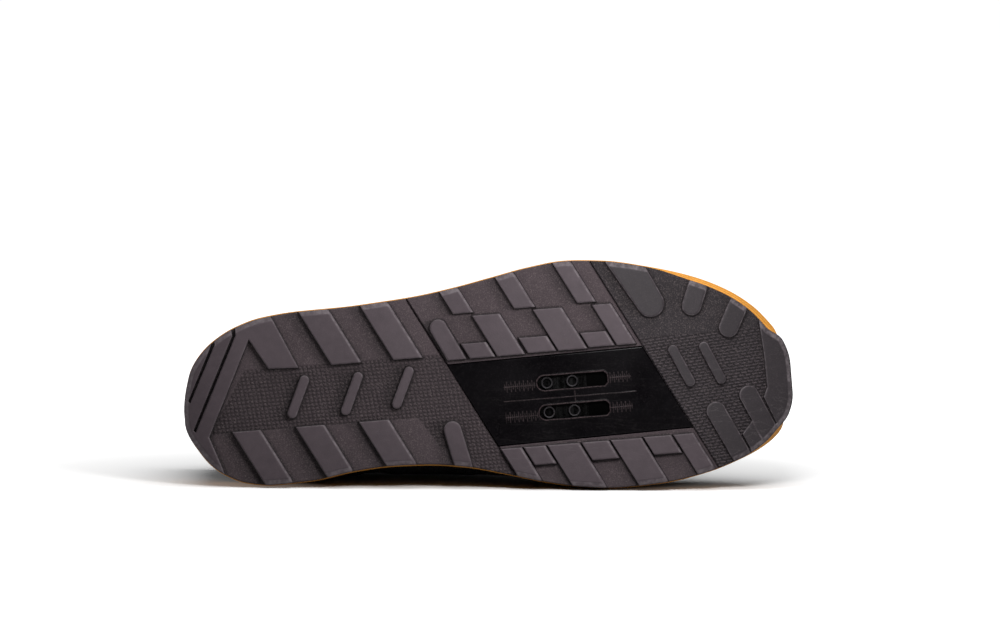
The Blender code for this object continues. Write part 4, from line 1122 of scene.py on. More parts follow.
def upper(look, lining):
    """Hollow upper. Each ring is one section of its wall: up the outer face, over the rounded top edge and
    down the inner face. The wall is thicker round the padded collar, and its cloth has creases and seams."""
    turns = np.linspace(0, 1, 291)
    turn, side = loop_of(turns)
    handles = wall_curve(turn, side)
    shares = np.linspace(0, 1, 131)
    grid = np.stack([wall_point(handles, share) for share in shares])
    normals = wall_normals(grid)
    turn_grid, share_grid = np.meshgrid(turn, shares)
    side_grid = np.broadcast_to(side, share_grid.shape)
    lift = np.maximum.reduce(overlay_share(turn_grid, share_grid))
    padding = collar_padding(turn_grid, share_grid)
    seam = seam_share(turn_grid, share_grid)
    thickness = UPPER_WALL + (COLLAR_PAD - UPPER_WALL) * padding
    rounding = np.sqrt(np.clip(1 - ease(share_grid, 0.955, 1.0) ** 2, 0, 1))
    crease = crease_depth(turn_grid, side_grid, share_grid)
    grid = grid - normals * crease[..., None]
    relief = lift * OVERLAY - 0.22 * MM * seam
    ditch = np.exp(-(((share_grid - COLLAR_DITCH) / 0.018) ** 2)) * collar_reach(turn_grid)
    relief = relief - 0.6 * MM * ditch
    outer = grid + normals * (relief * np.maximum(rounding, 0.2))[..., None]
    middle = grid - normals * (thickness / 2)[..., None]
    outer = middle + (outer - middle) * np.maximum(rounding, 0.05)[..., None]
    inner = grid - normals * thickness[..., None]
    inner = middle + (inner - middle) * np.maximum(rounding, 0.05)[..., None]
    feet = []
    for face in (outer, inner):
        foot = face[0].copy()
        foot[:, 2] = footbed(foot[:, 0]) + GAP
        feet.append(foot[None])
    rings = np.concatenate([feet[0], outer, inner[::-1], feet[1]])
    rows, columns = rings.shape[:2]
    mesh = mesh_of("upper_shell", rings, [grid_quads(rows, columns, True, True)])
    edges = [(1, len(shares) + 1), (0, 0)]
    set_attributes(
        mesh,
        overlay=np.pad(lift, edges),
        seam=np.pad(np.maximum(seam * lift, ditch), edges),
        vents=np.pad(vent_share(turn_grid, share_grid), edges),
        crease=np.pad(crease / MM, edges),
    )
    walk = np.linalg.norm(np.diff(rings, axis=0), axis=2)
    climb = np.concatenate([np.zeros((1, columns)), np.cumsum(walk, axis=0)])
    step = np.linalg.norm(np.diff(grid[40], axis=0, append=grid[40][:1]), axis=1)
    round_way = np.broadcast_to(np.concatenate([[0], np.cumsum(step)[:-1]]), climb.shape)
    set_uv(mesh, np.stack([round_way, climb], axis=-1))
    result = piece("upper_shell", mesh, look, ["upper"])
    mesh.materials.append(lining)
    face_row = np.arange(len(mesh.polygons)) // columns
    inside = (face_row > len(shares) - 3) & (face_row < rows)
    mesh.polygons.foreach_set("material_index", inside.astype(np.int32))
    return result


def stitch(points, normals, pitch, length, width):
    """Row of stitches along a line: each one a short bead that dips at both ends."""
    lengths = np.concatenate([[0], np.cumsum(np.linalg.norm(np.diff(points, axis=0), axis=1))])
    starts = np.arange(0.5 * pitch, lengths[-1] - length, pitch)
    steps = np.linspace(0, 1, 5)
    turn = np.linspace(0, math.tau, 6, endpoint=False)
    where = starts[:, None] + steps * length
    line = np.stack([np.interp(where, lengths, points[:, axis]) for axis in range(3)], axis=-1)
    up = np.stack([np.interp(where, lengths, normals[:, axis]) for axis in range(3)], axis=-1)
    along = line[:, -1:] - line[:, :1]
    across = np.cross(up, along)
    across = across / np.linalg.norm(across, axis=-1)[..., None]
    arch = np.sin(np.pi * np.clip(steps, 0.08, 0.92))
    thick = width / 2 * np.sqrt(arch)
    line = line + up * (width * (arch - 0.75))[None, :, None]
    cosine = np.cos(turn)[:, None]
    sine = np.sin(turn)[:, None]
    rings = line[:, :, None] + thick[:, None, None] * (cosine * across[:, :, None] + sine * up[:, :, None])
    return [swept(ring) for ring in rings]


def on_wall(turn, side, share, lift):
    """Points and outward directions on the finished wall, at turns, sides and shares of equal count."""
    handles = wall_curve(turn, side)
    share = share[:, None]
    here = wall_point(handles, share)
    above = wall_point(handles, np.minimum(share + 0.01, 1.0))
    ahead = wall_point(wall_curve(turn + 0.004, side), share)
    normal = np.cross(above - here, ahead - here) * side[:, None]
    normal = normal / np.linalg.norm(normal, axis=1)[:, None]
    depth = crease_depth(turn, side, share[:, 0])
    return here + normal * (lift - depth)[:, None], normal


STITCH_PITCH = 3.1 * MM
STITCH_LENGTH = 2.3 * MM
STITCH_WIDTH = 0.55 * MM
STITCH_LIFT = 0.05 * MM
SEAM_FOOT = 0.05
HEEL_MIDDLE = 0.0005
TOE_MIDDLE = 0.9995


def seams(look):
    """Stitches along the toe cap, the heel counter, the eyestays and the collar. Each seam runs straight
    between corners, given as turns and shares of the wall, with a count of points for every leg."""
    cap = turn_of(TOE_CAP_FROM) + SEAM_INSET
    cap_top = TOE_CAP_TOP - 2 * SEAM_INSET
    counter = turn_of(COUNTER_TO) - SEAM_INSET
    counter_top = COUNTER_TOP - 2 * SEAM_INSET
    stay = turn_of(THROAT_FROM) + SEAM_INSET
    stay_edge = EYESTAY_EDGE + 2 * SEAM_INSET
    over = OVERLAY + STITCH_LIFT
    seam_lines = [
        ([(cap, SEAM_FOOT), (cap, cap_top), (TOE_MIDDLE, cap_top)], (30, 80), over),
        ([(HEEL_MIDDLE, counter_top), (counter, counter_top), (counter, SEAM_FOOT)], (80, 30), over),
        ([(stay, 0.965), (stay, stay_edge), (TOE_MIDDLE, stay_edge)], (12, 160), over),
        ([(HEEL_MIDDLE, 0.655), (0.36, 0.655)], (120,), STITCH_LIFT),
    ]
    parts = []
    for hand in (-1.0, 1.0):
        for corners, counts, up in seam_lines:
            legs = [np.linspace(*ends) for ends in zip(corners, corners[1:], counts)]
            turn, share = np.concatenate(legs).T
            points, normals = on_wall(turn, np.full(len(turn), hand), share, up)
            parts += stitch(points, normals, STITCH_PITCH, STITCH_LENGTH, STITCH_WIDTH)
    mesh = mesh_of("seam_stitches", *joined(parts))
    return piece("seam_stitches", mesh, look, ["upper"])


def throat_arch(turn, lift, reach, count=9):
    """Points across the throat at one turn, from one eyestay to the other, moved off the wall by lift.

    The points run down each wall by reach, a share of its curve, and arch between the two edges."""
    pair = np.array([turn, turn])
    side = np.array([-1.0, 1.0])
    handles = wall_curve(pair, side)
    probe = 0.02
    nearby = wall_curve(pair + probe, side)
    columns = ([], [])
    for down in np.linspace(reach, 0, count):
        here = wall_point(handles, 1 - down)
        ahead = wall_point(nearby, 1 - down)
        above = wall_point(handles, 1 - down + probe) if down > probe else here
        below = wall_point(handles, 1 - down - probe)
        for index, hand in enumerate((-1, 1)):
            normal = np.cross(above[index] - below[index], ahead[index] - here[index]) * hand
            normal = normal / np.linalg.norm(normal)
            columns[index].append(here[index] + normal * lift)
    left, right = (column_points[-1] for column_points in columns)
    leads = [points[-1] - points[-2] for points in columns]
    left_lead, right_lead = (lead / np.linalg.norm(lead) for lead in leads)
    span = np.linalg.norm(right - left) * 0.36
    curve = (left, left + left_lead * span, right + right_lead * span, right)
    bridge = [wall_point(curve, share) for share in np.linspace(0, 1, count + 2)[1:-1]]
    return np.array(columns[0] + bridge + columns[1][::-1])


EYELETS_ALONG = (0.46, 0.70)


def eyelet_places():
    """Turn of each eyelet along the throat."""
    return np.linspace(*turn_of(EYELETS_ALONG), EYELETS)


def slot_centres():
    """Middle of each cleat slot on the plan."""
    middle = SLOT_ACROSS * BALL_WIDTH
    return [(SLOT_ALONG * LENGTH, middle + share * SLOT_SPACING) for share in (-0.5, 0.5)]


CORNER_CUT = 0.45


def slot_inside(x, y):
    """Distance inside the nearer slot: round at its rear end, with two cut corners at its front end."""
    reach = (SLOT_LENGTH - SLOT_WIDTH) / 2
    half = SLOT_WIDTH / 2
    shares = []
    for along, across in slot_centres():
        rear = pill_inside(x, y, (along - reach, across), (along + reach, across), SLOT_WIDTH)
        square = np.minimum(half - np.abs(y - across), along + reach + half - x)
        cut = (along + reach + half - x + half - np.abs(y - across) - CORNER_CUT * half) / math.sqrt(2)
        front = np.minimum(square, cut)
        shares.append(np.where(x > along + reach * 0.5, front, rear))
    return np.maximum.reduce(shares)


Mark = namedtuple("Mark", "along across length")
SCALE_MARKS = [
    Mark(0.5531, 0.0164, 0.0151),
    Mark(0.7161, 0.0110, 0.0117),
    Mark(0.5548, 0.1478, 0.0161),
    Mark(0.7172, 0.1401, 0.0107),
]


MARK_WIDTH = 0.22 * MM
TICK_PITCH = 1.0 * MM


def stroke(off):
    """Section of a raised mark, from the distance to its middle line."""
    return ease(-np.abs(off), -MARK_WIDTH, 0)


def scale_relief(x, y):
    """Raised setting scales beside the slots: for each a fine line with a comb of ticks, long and short in
    turn, and one long line between the slots with a tick across it."""
    relief = np.zeros(x.shape)
    for mark in SCALE_MARKS:
        along = x - mark.along * LENGTH
        across = y - mark.across * BALL_WIDTH
        within = ease(mark.length / 2 - np.abs(along), -0.1 * MM, 0.1 * MM)
        number = np.round(along / TICK_PITCH)
        long = 2.6 * MM - 1.2 * MM * (number % 2)
        tick = stroke(along - number * TICK_PITCH) * ease(long - np.abs(across), 0, 0.2 * MM)
        relief = np.maximum(relief, np.maximum(stroke(across), tick) * within)
    middle = SLOT_ACROSS * BALL_WIDTH + 0.28 * MM
    line_middle = SLOT_ALONG * LENGTH - 1.65 * MM
    cross_place = SLOT_ALONG * LENGTH + 0.8 * MM
    line = stroke(y - middle) * ease(31.6 * MM - np.abs(x - line_middle), 0, 0.3 * MM)
    cross = stroke(x - cross_place) * ease(2.8 * MM - np.abs(y - middle), 0, 0.3 * MM)
    return np.maximum(relief, np.maximum(line, cross))


def cleat_plate(look):
    """Plate in the window. Its face carries a raised lip round each slot and the setting scales, and the
    slots are cut through it."""
    _, start, end, _ = split_places()
    place = spaced(start - GROOVE / 2 + GAP, end + GROOVE / 2 - GAP, 0.24 * MM)
    shares = np.linspace(0, 1, 170)
    near = window_line(place, WINDOW_OUTER) + (0, GAP)
    far = window_line(place, WINDOW_INNER) - (0, GAP)
    plan = line_grid(near, far, shares)
    x = plan[..., 0]
    y = plan[..., 1]
    slots = slot_inside(x, y)
    lip = ease(slots, -0.85 * MM, -0.60 * MM) * ease(-slots, 0.0, 0.35 * MM)
    edge = np.minimum(shares, 1 - shares)[None] * np.linalg.norm(far - near, axis=1)[:, None]
    scales = scale_relief(x, y) * (slots < -1.0 * MM)
    up = SOLE_TOP - PLATE - 0.35 * MM * lip - 0.10 * MM * scales
    up = up + 0.3 * MM * (1 - ease(edge, 0, 0.5 * MM))
    face = with_height(plan, rise(x) + up)
    ends = [with_height(face[:, index, :2], rise(face[:, index, 0]) + SOLE_TOP) for index in (0, -1)]
    points, faces = swept(np.concatenate([ends[0][:, None], face, ends[1][:, None]], axis=1))
    mesh = mesh_of("plate_with_slots", points, faces)
    # marks: raised scales worn paler, and slot lips paler, partly wear and partly a painted highlight.
    set_attributes(mesh, marks=np.pad(np.maximum(scales, ease(lip, 0.5, 1.0)), [(0, 0), (1, 1)]))
    cutter = slot_cutter()
    blank = placed("plate_blank", mesh)
    cut = blank.modifiers.new("slots", "BOOLEAN")
    cut.operation = "DIFFERENCE"
    cut.solver = "EXACT"
    cut.object = cutter
    bpy.context.view_layer.update()
    finished = bpy.data.meshes.new_from_object(blank.evaluated_get(bpy.context.evaluated_depsgraph_get()))
    finished.materials.clear()
    bpy.data.objects.remove(blank)
    bpy.data.objects.remove(cutter)
    return piece("plate_with_slots", finished, look, ["cleat_plate"])


def slot_cutter():
    """Both slots as upright walls through the plate."""
    reach = (SLOT_LENGTH - SLOT_WIDTH) / 2
    half = SLOT_WIDTH / 2
    turn = np.linspace(math.pi / 2, 3 * math.pi / 2, 25)
    parts = []
    for along, across in slot_centres():
        rear = np.stack([along - reach + half * np.cos(turn), across + half * np.sin(turn)], axis=1)
        keep = (1 - CORNER_CUT) * half
        front = np.array([(keep, -half), (half, -keep), (half, keep), (keep, half)])
        outline = np.concatenate([rear, front + (along + reach, across)])
        low = with_height(outline, rise(outline[:, 0]))
        high = with_height(outline, rise(outline[:, 0]) + 2 * SOLE_TOP)
        parts.append(swept(np.stack([low, high])))
    return placed("slot_cutter", mesh_of("slot_cutter", *joined(parts)))


def turned(profile, sides):
    """Rings of a turned shape about the Z axis, from rows of radius and height."""
    angles = np.linspace(0, math.tau, sides, endpoint=False)
    radius, height = np.array(profile).T[:, :, None]
    return np.stack([radius * np.cos(angles), radius * np.sin(angles), height + 0 * angles], axis=2)


NUT_SHEET = 2 * MM
NUT_BEVEL = 0.3 * MM
NUT_MARGIN = 7 * MM
THREAD_RINGS = 10
THREAD_STEP = 0.22 * MM


def nut_plate(look):
    """Steel plate with four threaded bosses. A boss is a turned ring: its collar has a small chamfer, and its
    bore carries a thread drawn as rings of fine ridges."""
    middle = SLOT_ACROSS * BALL_WIDTH
    centres = []
    for share, step in ((-0.5, -0.5), (-0.5, 0.5), (0.5, -0.5), (0.5, 0.5)):
        centres.append((BOLT_ALONG * LENGTH + step * BOLT_PITCH, middle + share * SLOT_SPACING))
    low = SOLE_TOP - PLATE
    base = SOLE_TOP + GAP
    high = base + NUT_SHEET
    outer = BOSS_DIAMETER / 2
    bore = BOLT_BORE / 2
    profile = [(outer, high), (outer, low + 0.35 * MM), (outer - 0.3 * MM, low), (bore + 0.45 * MM, low)]
    profile += [(bore + 0.1 * MM, low + 0.3 * MM)]
    for step in range(THREAD_RINGS):
        profile.append((bore + 0.18 * MM * (step % 2), low + 0.4 * MM + THREAD_STEP * step))
    profile += [(bore, high - 0.2 * MM), (bore + 0.2 * MM, high)]
    rings = turned(profile, 40)
    rows, sides = rings.shape[:2]
    parts = [(rings + (*centre, 0), [grid_quads(rows, sides, True, True)]) for centre in centres]
    outline = rounded_box(np.min(centres, axis=0) - NUT_MARGIN, np.max(centres, axis=0) + NUT_MARGIN, 2.0 * MM)
    centre = np.mean(outline, axis=0)
    half_size = 15 * MM
    levels = [(NUT_BEVEL, base), (0, base + NUT_BEVEL), (0, high - NUT_BEVEL), (NUT_BEVEL, high)]
    sheet = [with_height(centre + (outline - centre) * (1 - inset / half_size), up) for inset, up in levels]
    parts.append(swept(np.stack(sheet)))
    mesh = mesh_of("threaded_plate", *joined(parts))
    set_attributes(mesh, boss=np.arange(len(mesh.vertices)) < len(centres) * rows * sides)
    return piece("threaded_plate", mesh, look, ["cleat_nut_plate"])


def rounded_box(near, far, radius):
    """Outline of a box on the plan with round corners."""
    x0, y0 = near + radius
    x1, y1 = far - radius
    points = []
    for quarter, centre in enumerate([(x1, y1), (x0, y1), (x0, y0), (x1, y0)]):
        angles = math.pi / 2 * (quarter + np.linspace(0, 1, 7))
        points.append(np.array(centre) + radius * np.stack([np.cos(angles), np.sin(angles)], axis=1))
    return np.concatenate(points)


def insole(look):
    """Sock liner: a flat pad with a raised, rounded edge, dished a little in the middle. Each ring stands a
    little further inside the edge and at its own height, both in millimetres."""
    turn, side = loop_of(np.linspace(0, 1, 121))
    rings = []
    for inset, up in ((0.0, GAP / MM), (0.0, 0.3), (0.0, 1.6), (0.5, 2.8), (1.6, 3.0), (5.0, 2.4), (14.0, 2.0)):
        points, _ = edge_points(turn, side, sock_inset(turn) + UPPER_WALL + GAP + inset * MM)
        rings.append(with_height(points, footbed(points[:, 0]) + up * MM))
    rings = np.array(rings)
    mesh = mesh_of("sock_liner", rings, stacked(rings))
    set_uv(mesh, rings[..., :2])
    return piece("sock_liner", mesh, look, ["insole"])


TONGUE_TIP = 0.030
TONGUE_TUCK = 0.012
TONGUE_ALONG = (0.735, 0.42)
TONGUE_LEAN = (-0.80, 0, 0.60)
QUILT = 0.5 * MM


def tongue(look):
    """Padded tongue. Its middle surface follows the throat's arch, reaches under the vamp and stands up above
    the throat with a round tip. Each ring goes round it: over the outer face, round the edge and back along
    the inner face, fuller in the middle than at its stitched edge."""
    front, back = turn_of(TONGUE_ALONG)
    depth = UPPER_WALL + OVERLAY + 2 * GAP + TONGUE_PAD / 2
    steps = np.linspace(0.02, 0.96, 64)
    rows = [throat_arch(front + (back - front) * place, -depth, 0.14, 7) for place in steps]
    run = rows[0] - rows[1]
    run = run / np.linalg.norm(run, axis=1)[:, None]
    for reach in (0.5, 1.0):
        tucked = rows[0] + run * TONGUE_TUCK * reach
        tucked[:, 2] -= UPPER_WALL * reach
        rows.insert(0, tucked)
    last = rows[-1]
    climb = np.array(TONGUE_LEAN)
    for step in np.linspace(0.06, 1.0, 16):
        narrow = math.sqrt(max(1 - (0.97 * step) ** 3, 0.0)) * (1 - 0.16 * step)
        row = last + climb * TONGUE_TIP * step
        middle = row[:, 1].mean()
        row[:, 1] = middle + (row[:, 1] - middle) * narrow
        rows.append(row)
    middle = np.array(rows)
    along = np.gradient(middle, axis=0)
    across = np.gradient(middle, axis=1)
    normal = np.cross(across, along)
    normal = normal / np.linalg.norm(normal, axis=2)[:, :, None]
    normal *= np.sign(normal[..., 2:].mean())
    count = middle.shape[1]
    share = np.linspace(-1, 1, count)
    swell = np.clip(1 - np.abs(share) ** 6, 0, 1) ** 0.5
    length = np.linspace(0, 1, len(rows))
    tail = np.clip(1 - ((length - 0.5) / 0.5) ** 12, 0, 1) ** 0.5
    half = TONGUE_PAD / 2 * (0.12 + 0.88 * swell[None] * tail[:, None])
    quilt = QUILT * np.exp(-((np.abs(share) - 0.62) / 0.05) ** 2)[None] * ease(length, 0.25, 0.35)[:, None]
    upper_face = middle + normal * (half - quilt)[..., None]
    lower_face = middle - normal * half[..., None]
    rings = np.concatenate([upper_face, lower_face[:, ::-1]], axis=1)
    points, faces = swept(rings)
    mesh = mesh_of("tongue_pad", points, faces)
    flat = np.stack(np.meshgrid(length * 0.16, np.linspace(0, 0.1, rings.shape[1]), indexing="ij"), axis=-1)
    set_uv(mesh, flat)
    result = piece("tongue_pad", mesh, look, ["tongue"])
    return result


def lace_path(turn):
    """Middle line of one lace bar: up out of one eyelet, over the eyestay, across on the tongue and down into
    the other eyelet."""
    high = OVERLAY + 0.5 * LACE_THICKNESS + 0.5 * MM
    low = 1.0 * MM - UPPER_WALL - OVERLAY - 2 * GAP
    over = throat_arch(turn, high, EYELET_REACH, 9)
    under = throat_arch(turn, low, EYELET_REACH, 9)
    share = np.abs(np.linspace(-1, 1, len(over)))
    share = 1 - ease(share, 0.12, 0.50)
    line = over + share[:, None] * (under - over)
    inside = throat_arch(turn, -UPPER_WALL - 0.8 * MM, EYELET_REACH, 9)
    outside = throat_arch(turn, high * 0.4, EYELET_REACH, 9)
    return np.concatenate([[inside[0], outside[0]], line[1:-1], [outside[-1], inside[-1]]])


def resample(points, count):
    """Even places along a line, on a smooth curve through its points."""
    lengths = np.concatenate([[0], np.cumsum(np.linalg.norm(np.diff(points, axis=0), axis=1))])
    where = np.linspace(0, lengths[-1], count)
    return np.stack([smooth(lengths, points[:, axis], where) for axis in range(3)], axis=1), where


def ribbon(points, across, width, thickness):
    """Flat lace along a path: each ring is a thin rounded box section, with its width along the given
    directions."""
    along = np.gradient(points, axis=0)
    along = along / np.linalg.norm(along, axis=1)[:, None]
    across = across - along * np.einsum("ij,ij->i", across, along)[:, None]
    across = across / np.linalg.norm(across, axis=1)[:, None]
    up = np.cross(along, across)
    turn = np.linspace(0, math.tau, 24, endpoint=False)
    flat = np.sign(np.cos(turn)) * np.abs(np.cos(turn)) ** 0.5
    high = np.sign(np.sin(turn)) * np.abs(np.sin(turn)) ** 0.8
    width = np.broadcast_to(width, len(points))
    rings = points[:, None] + across[:, None] * (flat[None, :, None] * width[:, None, None] / 2)
    return rings + up[:, None] * (high[None, :, None] * thickness / 2)


PINCHED = 0.42
RUN_WIDTH = 0.45 * LACE_WIDTH


def lace(look):
    """One flat lace: a bar across the throat at each pair of eyelets, pinched where it goes down into them,
    and the runs that join the bars under the eyestays."""
    parts = []
    flats = []
    offset = 0.0
    turns = eyelet_places()
    for turn in turns:
        line, where = resample(lace_path(turn), 90)
        nearby, _ = resample(lace_path(turn + 0.01), 90)
        pinch = ease(np.minimum(where, where[-1] - where), 0.5 * MM, 6 * MM)
        width = LACE_WIDTH * (PINCHED + (1 - PINCHED) * pinch)
        rings = ribbon(line, nearby - line, width, LACE_THICKNESS)
        parts.append(swept(rings))
        flats.append(flat_places(rings, where, offset))
        offset += where[-1]
    share = np.linspace(0, 1, 24)
    for first, second in zip(turns, turns[1:]):
        for end, beside in ((0, 1), (-1, -2)):
            start = lace_path(first)[end]
            step = lace_path(second)[end] - start
            inward = lace_path((first + second) / 2)[end] - start - step / 2
            line = start + share[:, None] * step + 4 * (share * (1 - share))[:, None] * inward
            upright = np.cross(step, lace_path(first)[beside] - start)
            rings = ribbon(line, np.broadcast_to(upright, line.shape), RUN_WIDTH, LACE_THICKNESS)
            parts.append(swept(rings))
            length = np.linalg.norm(step)
            flats.append(flat_places(rings, share * length, offset))
            offset += length
    mesh = mesh_of("flat_lace", *joined(parts))
    set_uv(mesh, np.concatenate(flats))
    return piece("flat_lace", mesh, look, [f"lace_{index + 1}" for index in range(EYELETS)])


def flat_places(rings, where, offset):
    """Flat places of a ribbon's points: along it, and round its section."""
    rows, columns = rings.shape[:2]
    places = np.empty((rows, columns, 2))
    places[..., 0] = where[:, None] + offset
    places[..., 1] = np.linspace(0, 2 * LACE_WIDTH, columns)[None]
    return places.reshape(-1, 2)


EYELET_PROFILE = [
    (1.75, -2.2),
    (1.75, 0.1),
    (2.0, 0.45),
    (2.6, 0.5),
    (3.0, 0.2),
    (3.0, -0.4),
    (2.0, -0.4),
    (2.0, -2.2),
]


def eyelet_rings(look):
    """Small pressed ring round each eyelet, square to the eyestay, from its section in millimetres."""
    rings = turned(EYELET_PROFILE, 32) * MM
    rows, sides = rings.shape[:2]
    parts = []
    for turn in eyelet_places():
        centres = throat_arch(turn, OVERLAY, EYELET_REACH)
        outside = throat_arch(turn, OVERLAY + UPPER_WALL, EYELET_REACH)
        for end in (0, -1):
            axis = Vector(outside[end] - centres[end]).to_track_quat("Z", "Y").to_matrix()
            place = rings @ np.array(axis).T + centres[end]
            parts.append((place, [grid_quads(rows, sides, True, True)]))
    mesh = mesh_of("eyelets", *joined(parts))
    return piece("eyelets", mesh, look, ["upper"])


# Materials


def add(tree, kind, inputs=(), **settings):
    """New shader node with its settings, and its inputs linked or set by name or number."""
    node = tree.nodes.new("ShaderNode" + kind)
    for name, value in settings.items():
        setattr(node, name, value)
    for name, value in dict(inputs).items():
        if isinstance(value, bpy.types.NodeSocket):
            tree.links.new(value, node.inputs[name])
        else:
            node.inputs[name].default_value = value
    return node


def sums(tree, operation, *values):
    """Result of a Math node."""
    return add(tree, "Math", enumerate(values), operation=operation).outputs[0]


def times(tree, first, second):
    """Product of two values."""
    return sums(tree, "MULTIPLY", first, second)


def plus(tree, first, second):
    """Sum of two values."""
    return sums(tree, "ADD", first, second)


def spread(tree, value, low, high, to_low=0.0, to_high=1.0):
    """A value moved from one range to another, held at both ends."""
    inputs = {"Value": value, "From Min": low, "From Max": high, "To Min": to_low, "To Max": to_high}
    return add(tree, "MapRange", inputs).outputs["Result"]


def mixed(tree, share, first, second):
    """Colour between two others."""
    inputs = {0: share, 6: (*first, 1) if isinstance(first, tuple) else first}
    inputs[7] = (*second, 1) if isinstance(second, tuple) else second
    return add(tree, "Mix", inputs, data_type="RGBA").outputs[2]


def carried(tree, name):
    """Number that the mesh's points carry."""
    return add(tree, "Attribute", attribute_name=name).outputs["Fac"]


def group(name, inputs, outputs, build):
    """Node group with named inputs, given as (name, kind, value), and named outputs."""
    tree = bpy.data.node_groups.new(name, "ShaderNodeTree")
    for label, kind, value in inputs:
        socket = tree.interface.new_socket(label, in_out="INPUT", socket_type="NodeSocket" + kind)
        if value is not None:
            socket.default_value = value
    for label, kind in outputs:
        tree.interface.new_socket(label, in_out="OUTPUT", socket_type="NodeSocket" + kind)
    given = tree.nodes.new("NodeGroupInput").outputs
    result = tree.nodes.new("NodeGroupOutput")
    for label, socket in build(tree, given).items():
        tree.links.new(socket, result.inputs[label])
    return tree


def use(tree, effect, inputs):
    """Outputs of a node group placed in a material."""
    return add(tree, "Group", inputs, node_tree=effect).outputs


def build_grain(tree, given):
    """Fine grit: noise of two sizes added up."""
    where = given["Vector"]
    scale = given["Scale"]
    coarse = add(tree, "TexNoise", {"Vector": where, "Scale": scale, "Detail": 2.0, "Roughness": 0.6})
    twice = times(tree, scale, 2.3)
    fine = add(tree, "TexNoise", {"Vector": where, "Scale": twice, "Detail": 1.0})
    total = plus(tree, coarse.outputs[0], fine.outputs[0])
    return {"Height": times(tree, total, 0.5), "Speck": spread(tree, total, 1.02, 1.30)}


def build_mottle(tree, given):
    """A colour made a little lighter and darker in soft patches of two sizes."""
    where = given["Vector"]
    wide = add(tree, "TexNoise", {"Vector": where, "Scale": given["Scale"], "Detail": 3.0})
    close = times(tree, given["Scale"], 7.0)
    small = add(tree, "TexNoise", {"Vector": where, "Scale": close, "Detail": 2.0})
    total = plus(tree, wide.outputs[0], small.outputs[0])
    swing = times(tree, sums(tree, "SUBTRACT", total, 1.0), given["Amount"])
    scaled = add(tree, "VectorMath", {0: given["Color"], "Scale": plus(tree, swing, 1.0)}, operation="SCALE")
    return {"Color": scaled.outputs[0], "Patch": wide.outputs[0]}


def build_scuffs(tree, given):
    """Thin marks: the crests of stretched noise, kept only where broad noise is high."""
    where = given["Vector"]
    stretched = add(tree, "Mapping", {"Vector": where, "Rotation": (0.3, 0.5, 0.9), "Scale": (1.0, 9.0, 9.0)})
    lines = add(tree, "TexNoise", {"Vector": stretched.outputs[0], "Scale": given["Scale"], "Detail": 4.0})
    crest = sums(tree, "ABSOLUTE", sums(tree, "SUBTRACT", lines.outputs[0], 0.5))
    thin = spread(tree, crest, 0.0, 0.012, 1.0, 0.0)
    places = times(tree, given["Scale"], 0.35)
    broad = add(tree, "TexNoise", {"Vector": where, "Scale": places, "Detail": 2.0})
    return {"Mask": times(tree, thin, spread(tree, broad.outputs[0], 0.52, 0.66))}


def build_weave(tree, given):
    """Plain weave on flat places: threads that pass over and under each other in turn, each one round."""
    split = add(tree, "SeparateXYZ", {0: given["Vector"]})
    across = sums(tree, "DIVIDE", split.outputs[0], given["Pitch"])
    along = sums(tree, "DIVIDE", split.outputs[1], given["Pitch"])
    cells = plus(tree, sums(tree, "FLOOR", across), sums(tree, "FLOOR", along))
    turn = sums(tree, "PINGPONG", cells, 1.0)
    round_across = sums(tree, "SINE", times(tree, sums(tree, "FRACT", across), math.pi))
    round_along = sums(tree, "SINE", times(tree, sums(tree, "FRACT", along), math.pi))
    over = times(tree, turn, round_across)
    under = times(tree, sums(tree, "SUBTRACT", 1.0, turn), round_along)
    height = plus(tree, over, under)
    corner = times(tree, round_across, round_along)
    return {"Height": height, "Hole": spread(tree, corner, 0.0, 0.22, 1.0, 0.0)}


def build_leather(tree, given):
    """Small raised pebbles parted by fine valleys."""
    where = given["Vector"]
    cells = add(tree, "TexVoronoi", {"Vector": where, "Scale": given["Scale"]}, feature="DISTANCE_TO_EDGE")
    pebble = spread(tree, cells.outputs["Distance"], 0.0, 0.25)
    soft = add(tree, "TexNoise", {"Vector": where, "Scale": given["Scale"], "Detail": 3.0})
    height = plus(tree, times(tree, pebble, 0.7), times(tree, soft.outputs[0], 0.5))
    return {"Height": height, "Valley": spread(tree, cells.outputs["Distance"], 0.0, 0.10, 1.0, 0.0)}


def build_pinholes(tree, given):
    """Round holes in staggered rows on flat places."""
    split = add(tree, "SeparateXYZ", {0: given["Vector"]})
    row = sums(tree, "DIVIDE", split.outputs[1], given["Pitch"])
    stagger = times(tree, sums(tree, "PINGPONG", sums(tree, "FLOOR", row), 1.0), 0.5)
    across = plus(tree, sums(tree, "DIVIDE", split.outputs[0], given["Pitch"]), stagger)
    off_across = sums(tree, "SUBTRACT", sums(tree, "FRACT", across), 0.5)
    off_row = sums(tree, "SUBTRACT", sums(tree, "FRACT", row), 0.5)
    squares = plus(tree, times(tree, off_across, off_across), times(tree, off_row, off_row))
    return {"Hole": spread(tree, sums(tree, "SQRT", squares), 0.13, 0.19, 1.0, 0.0)}


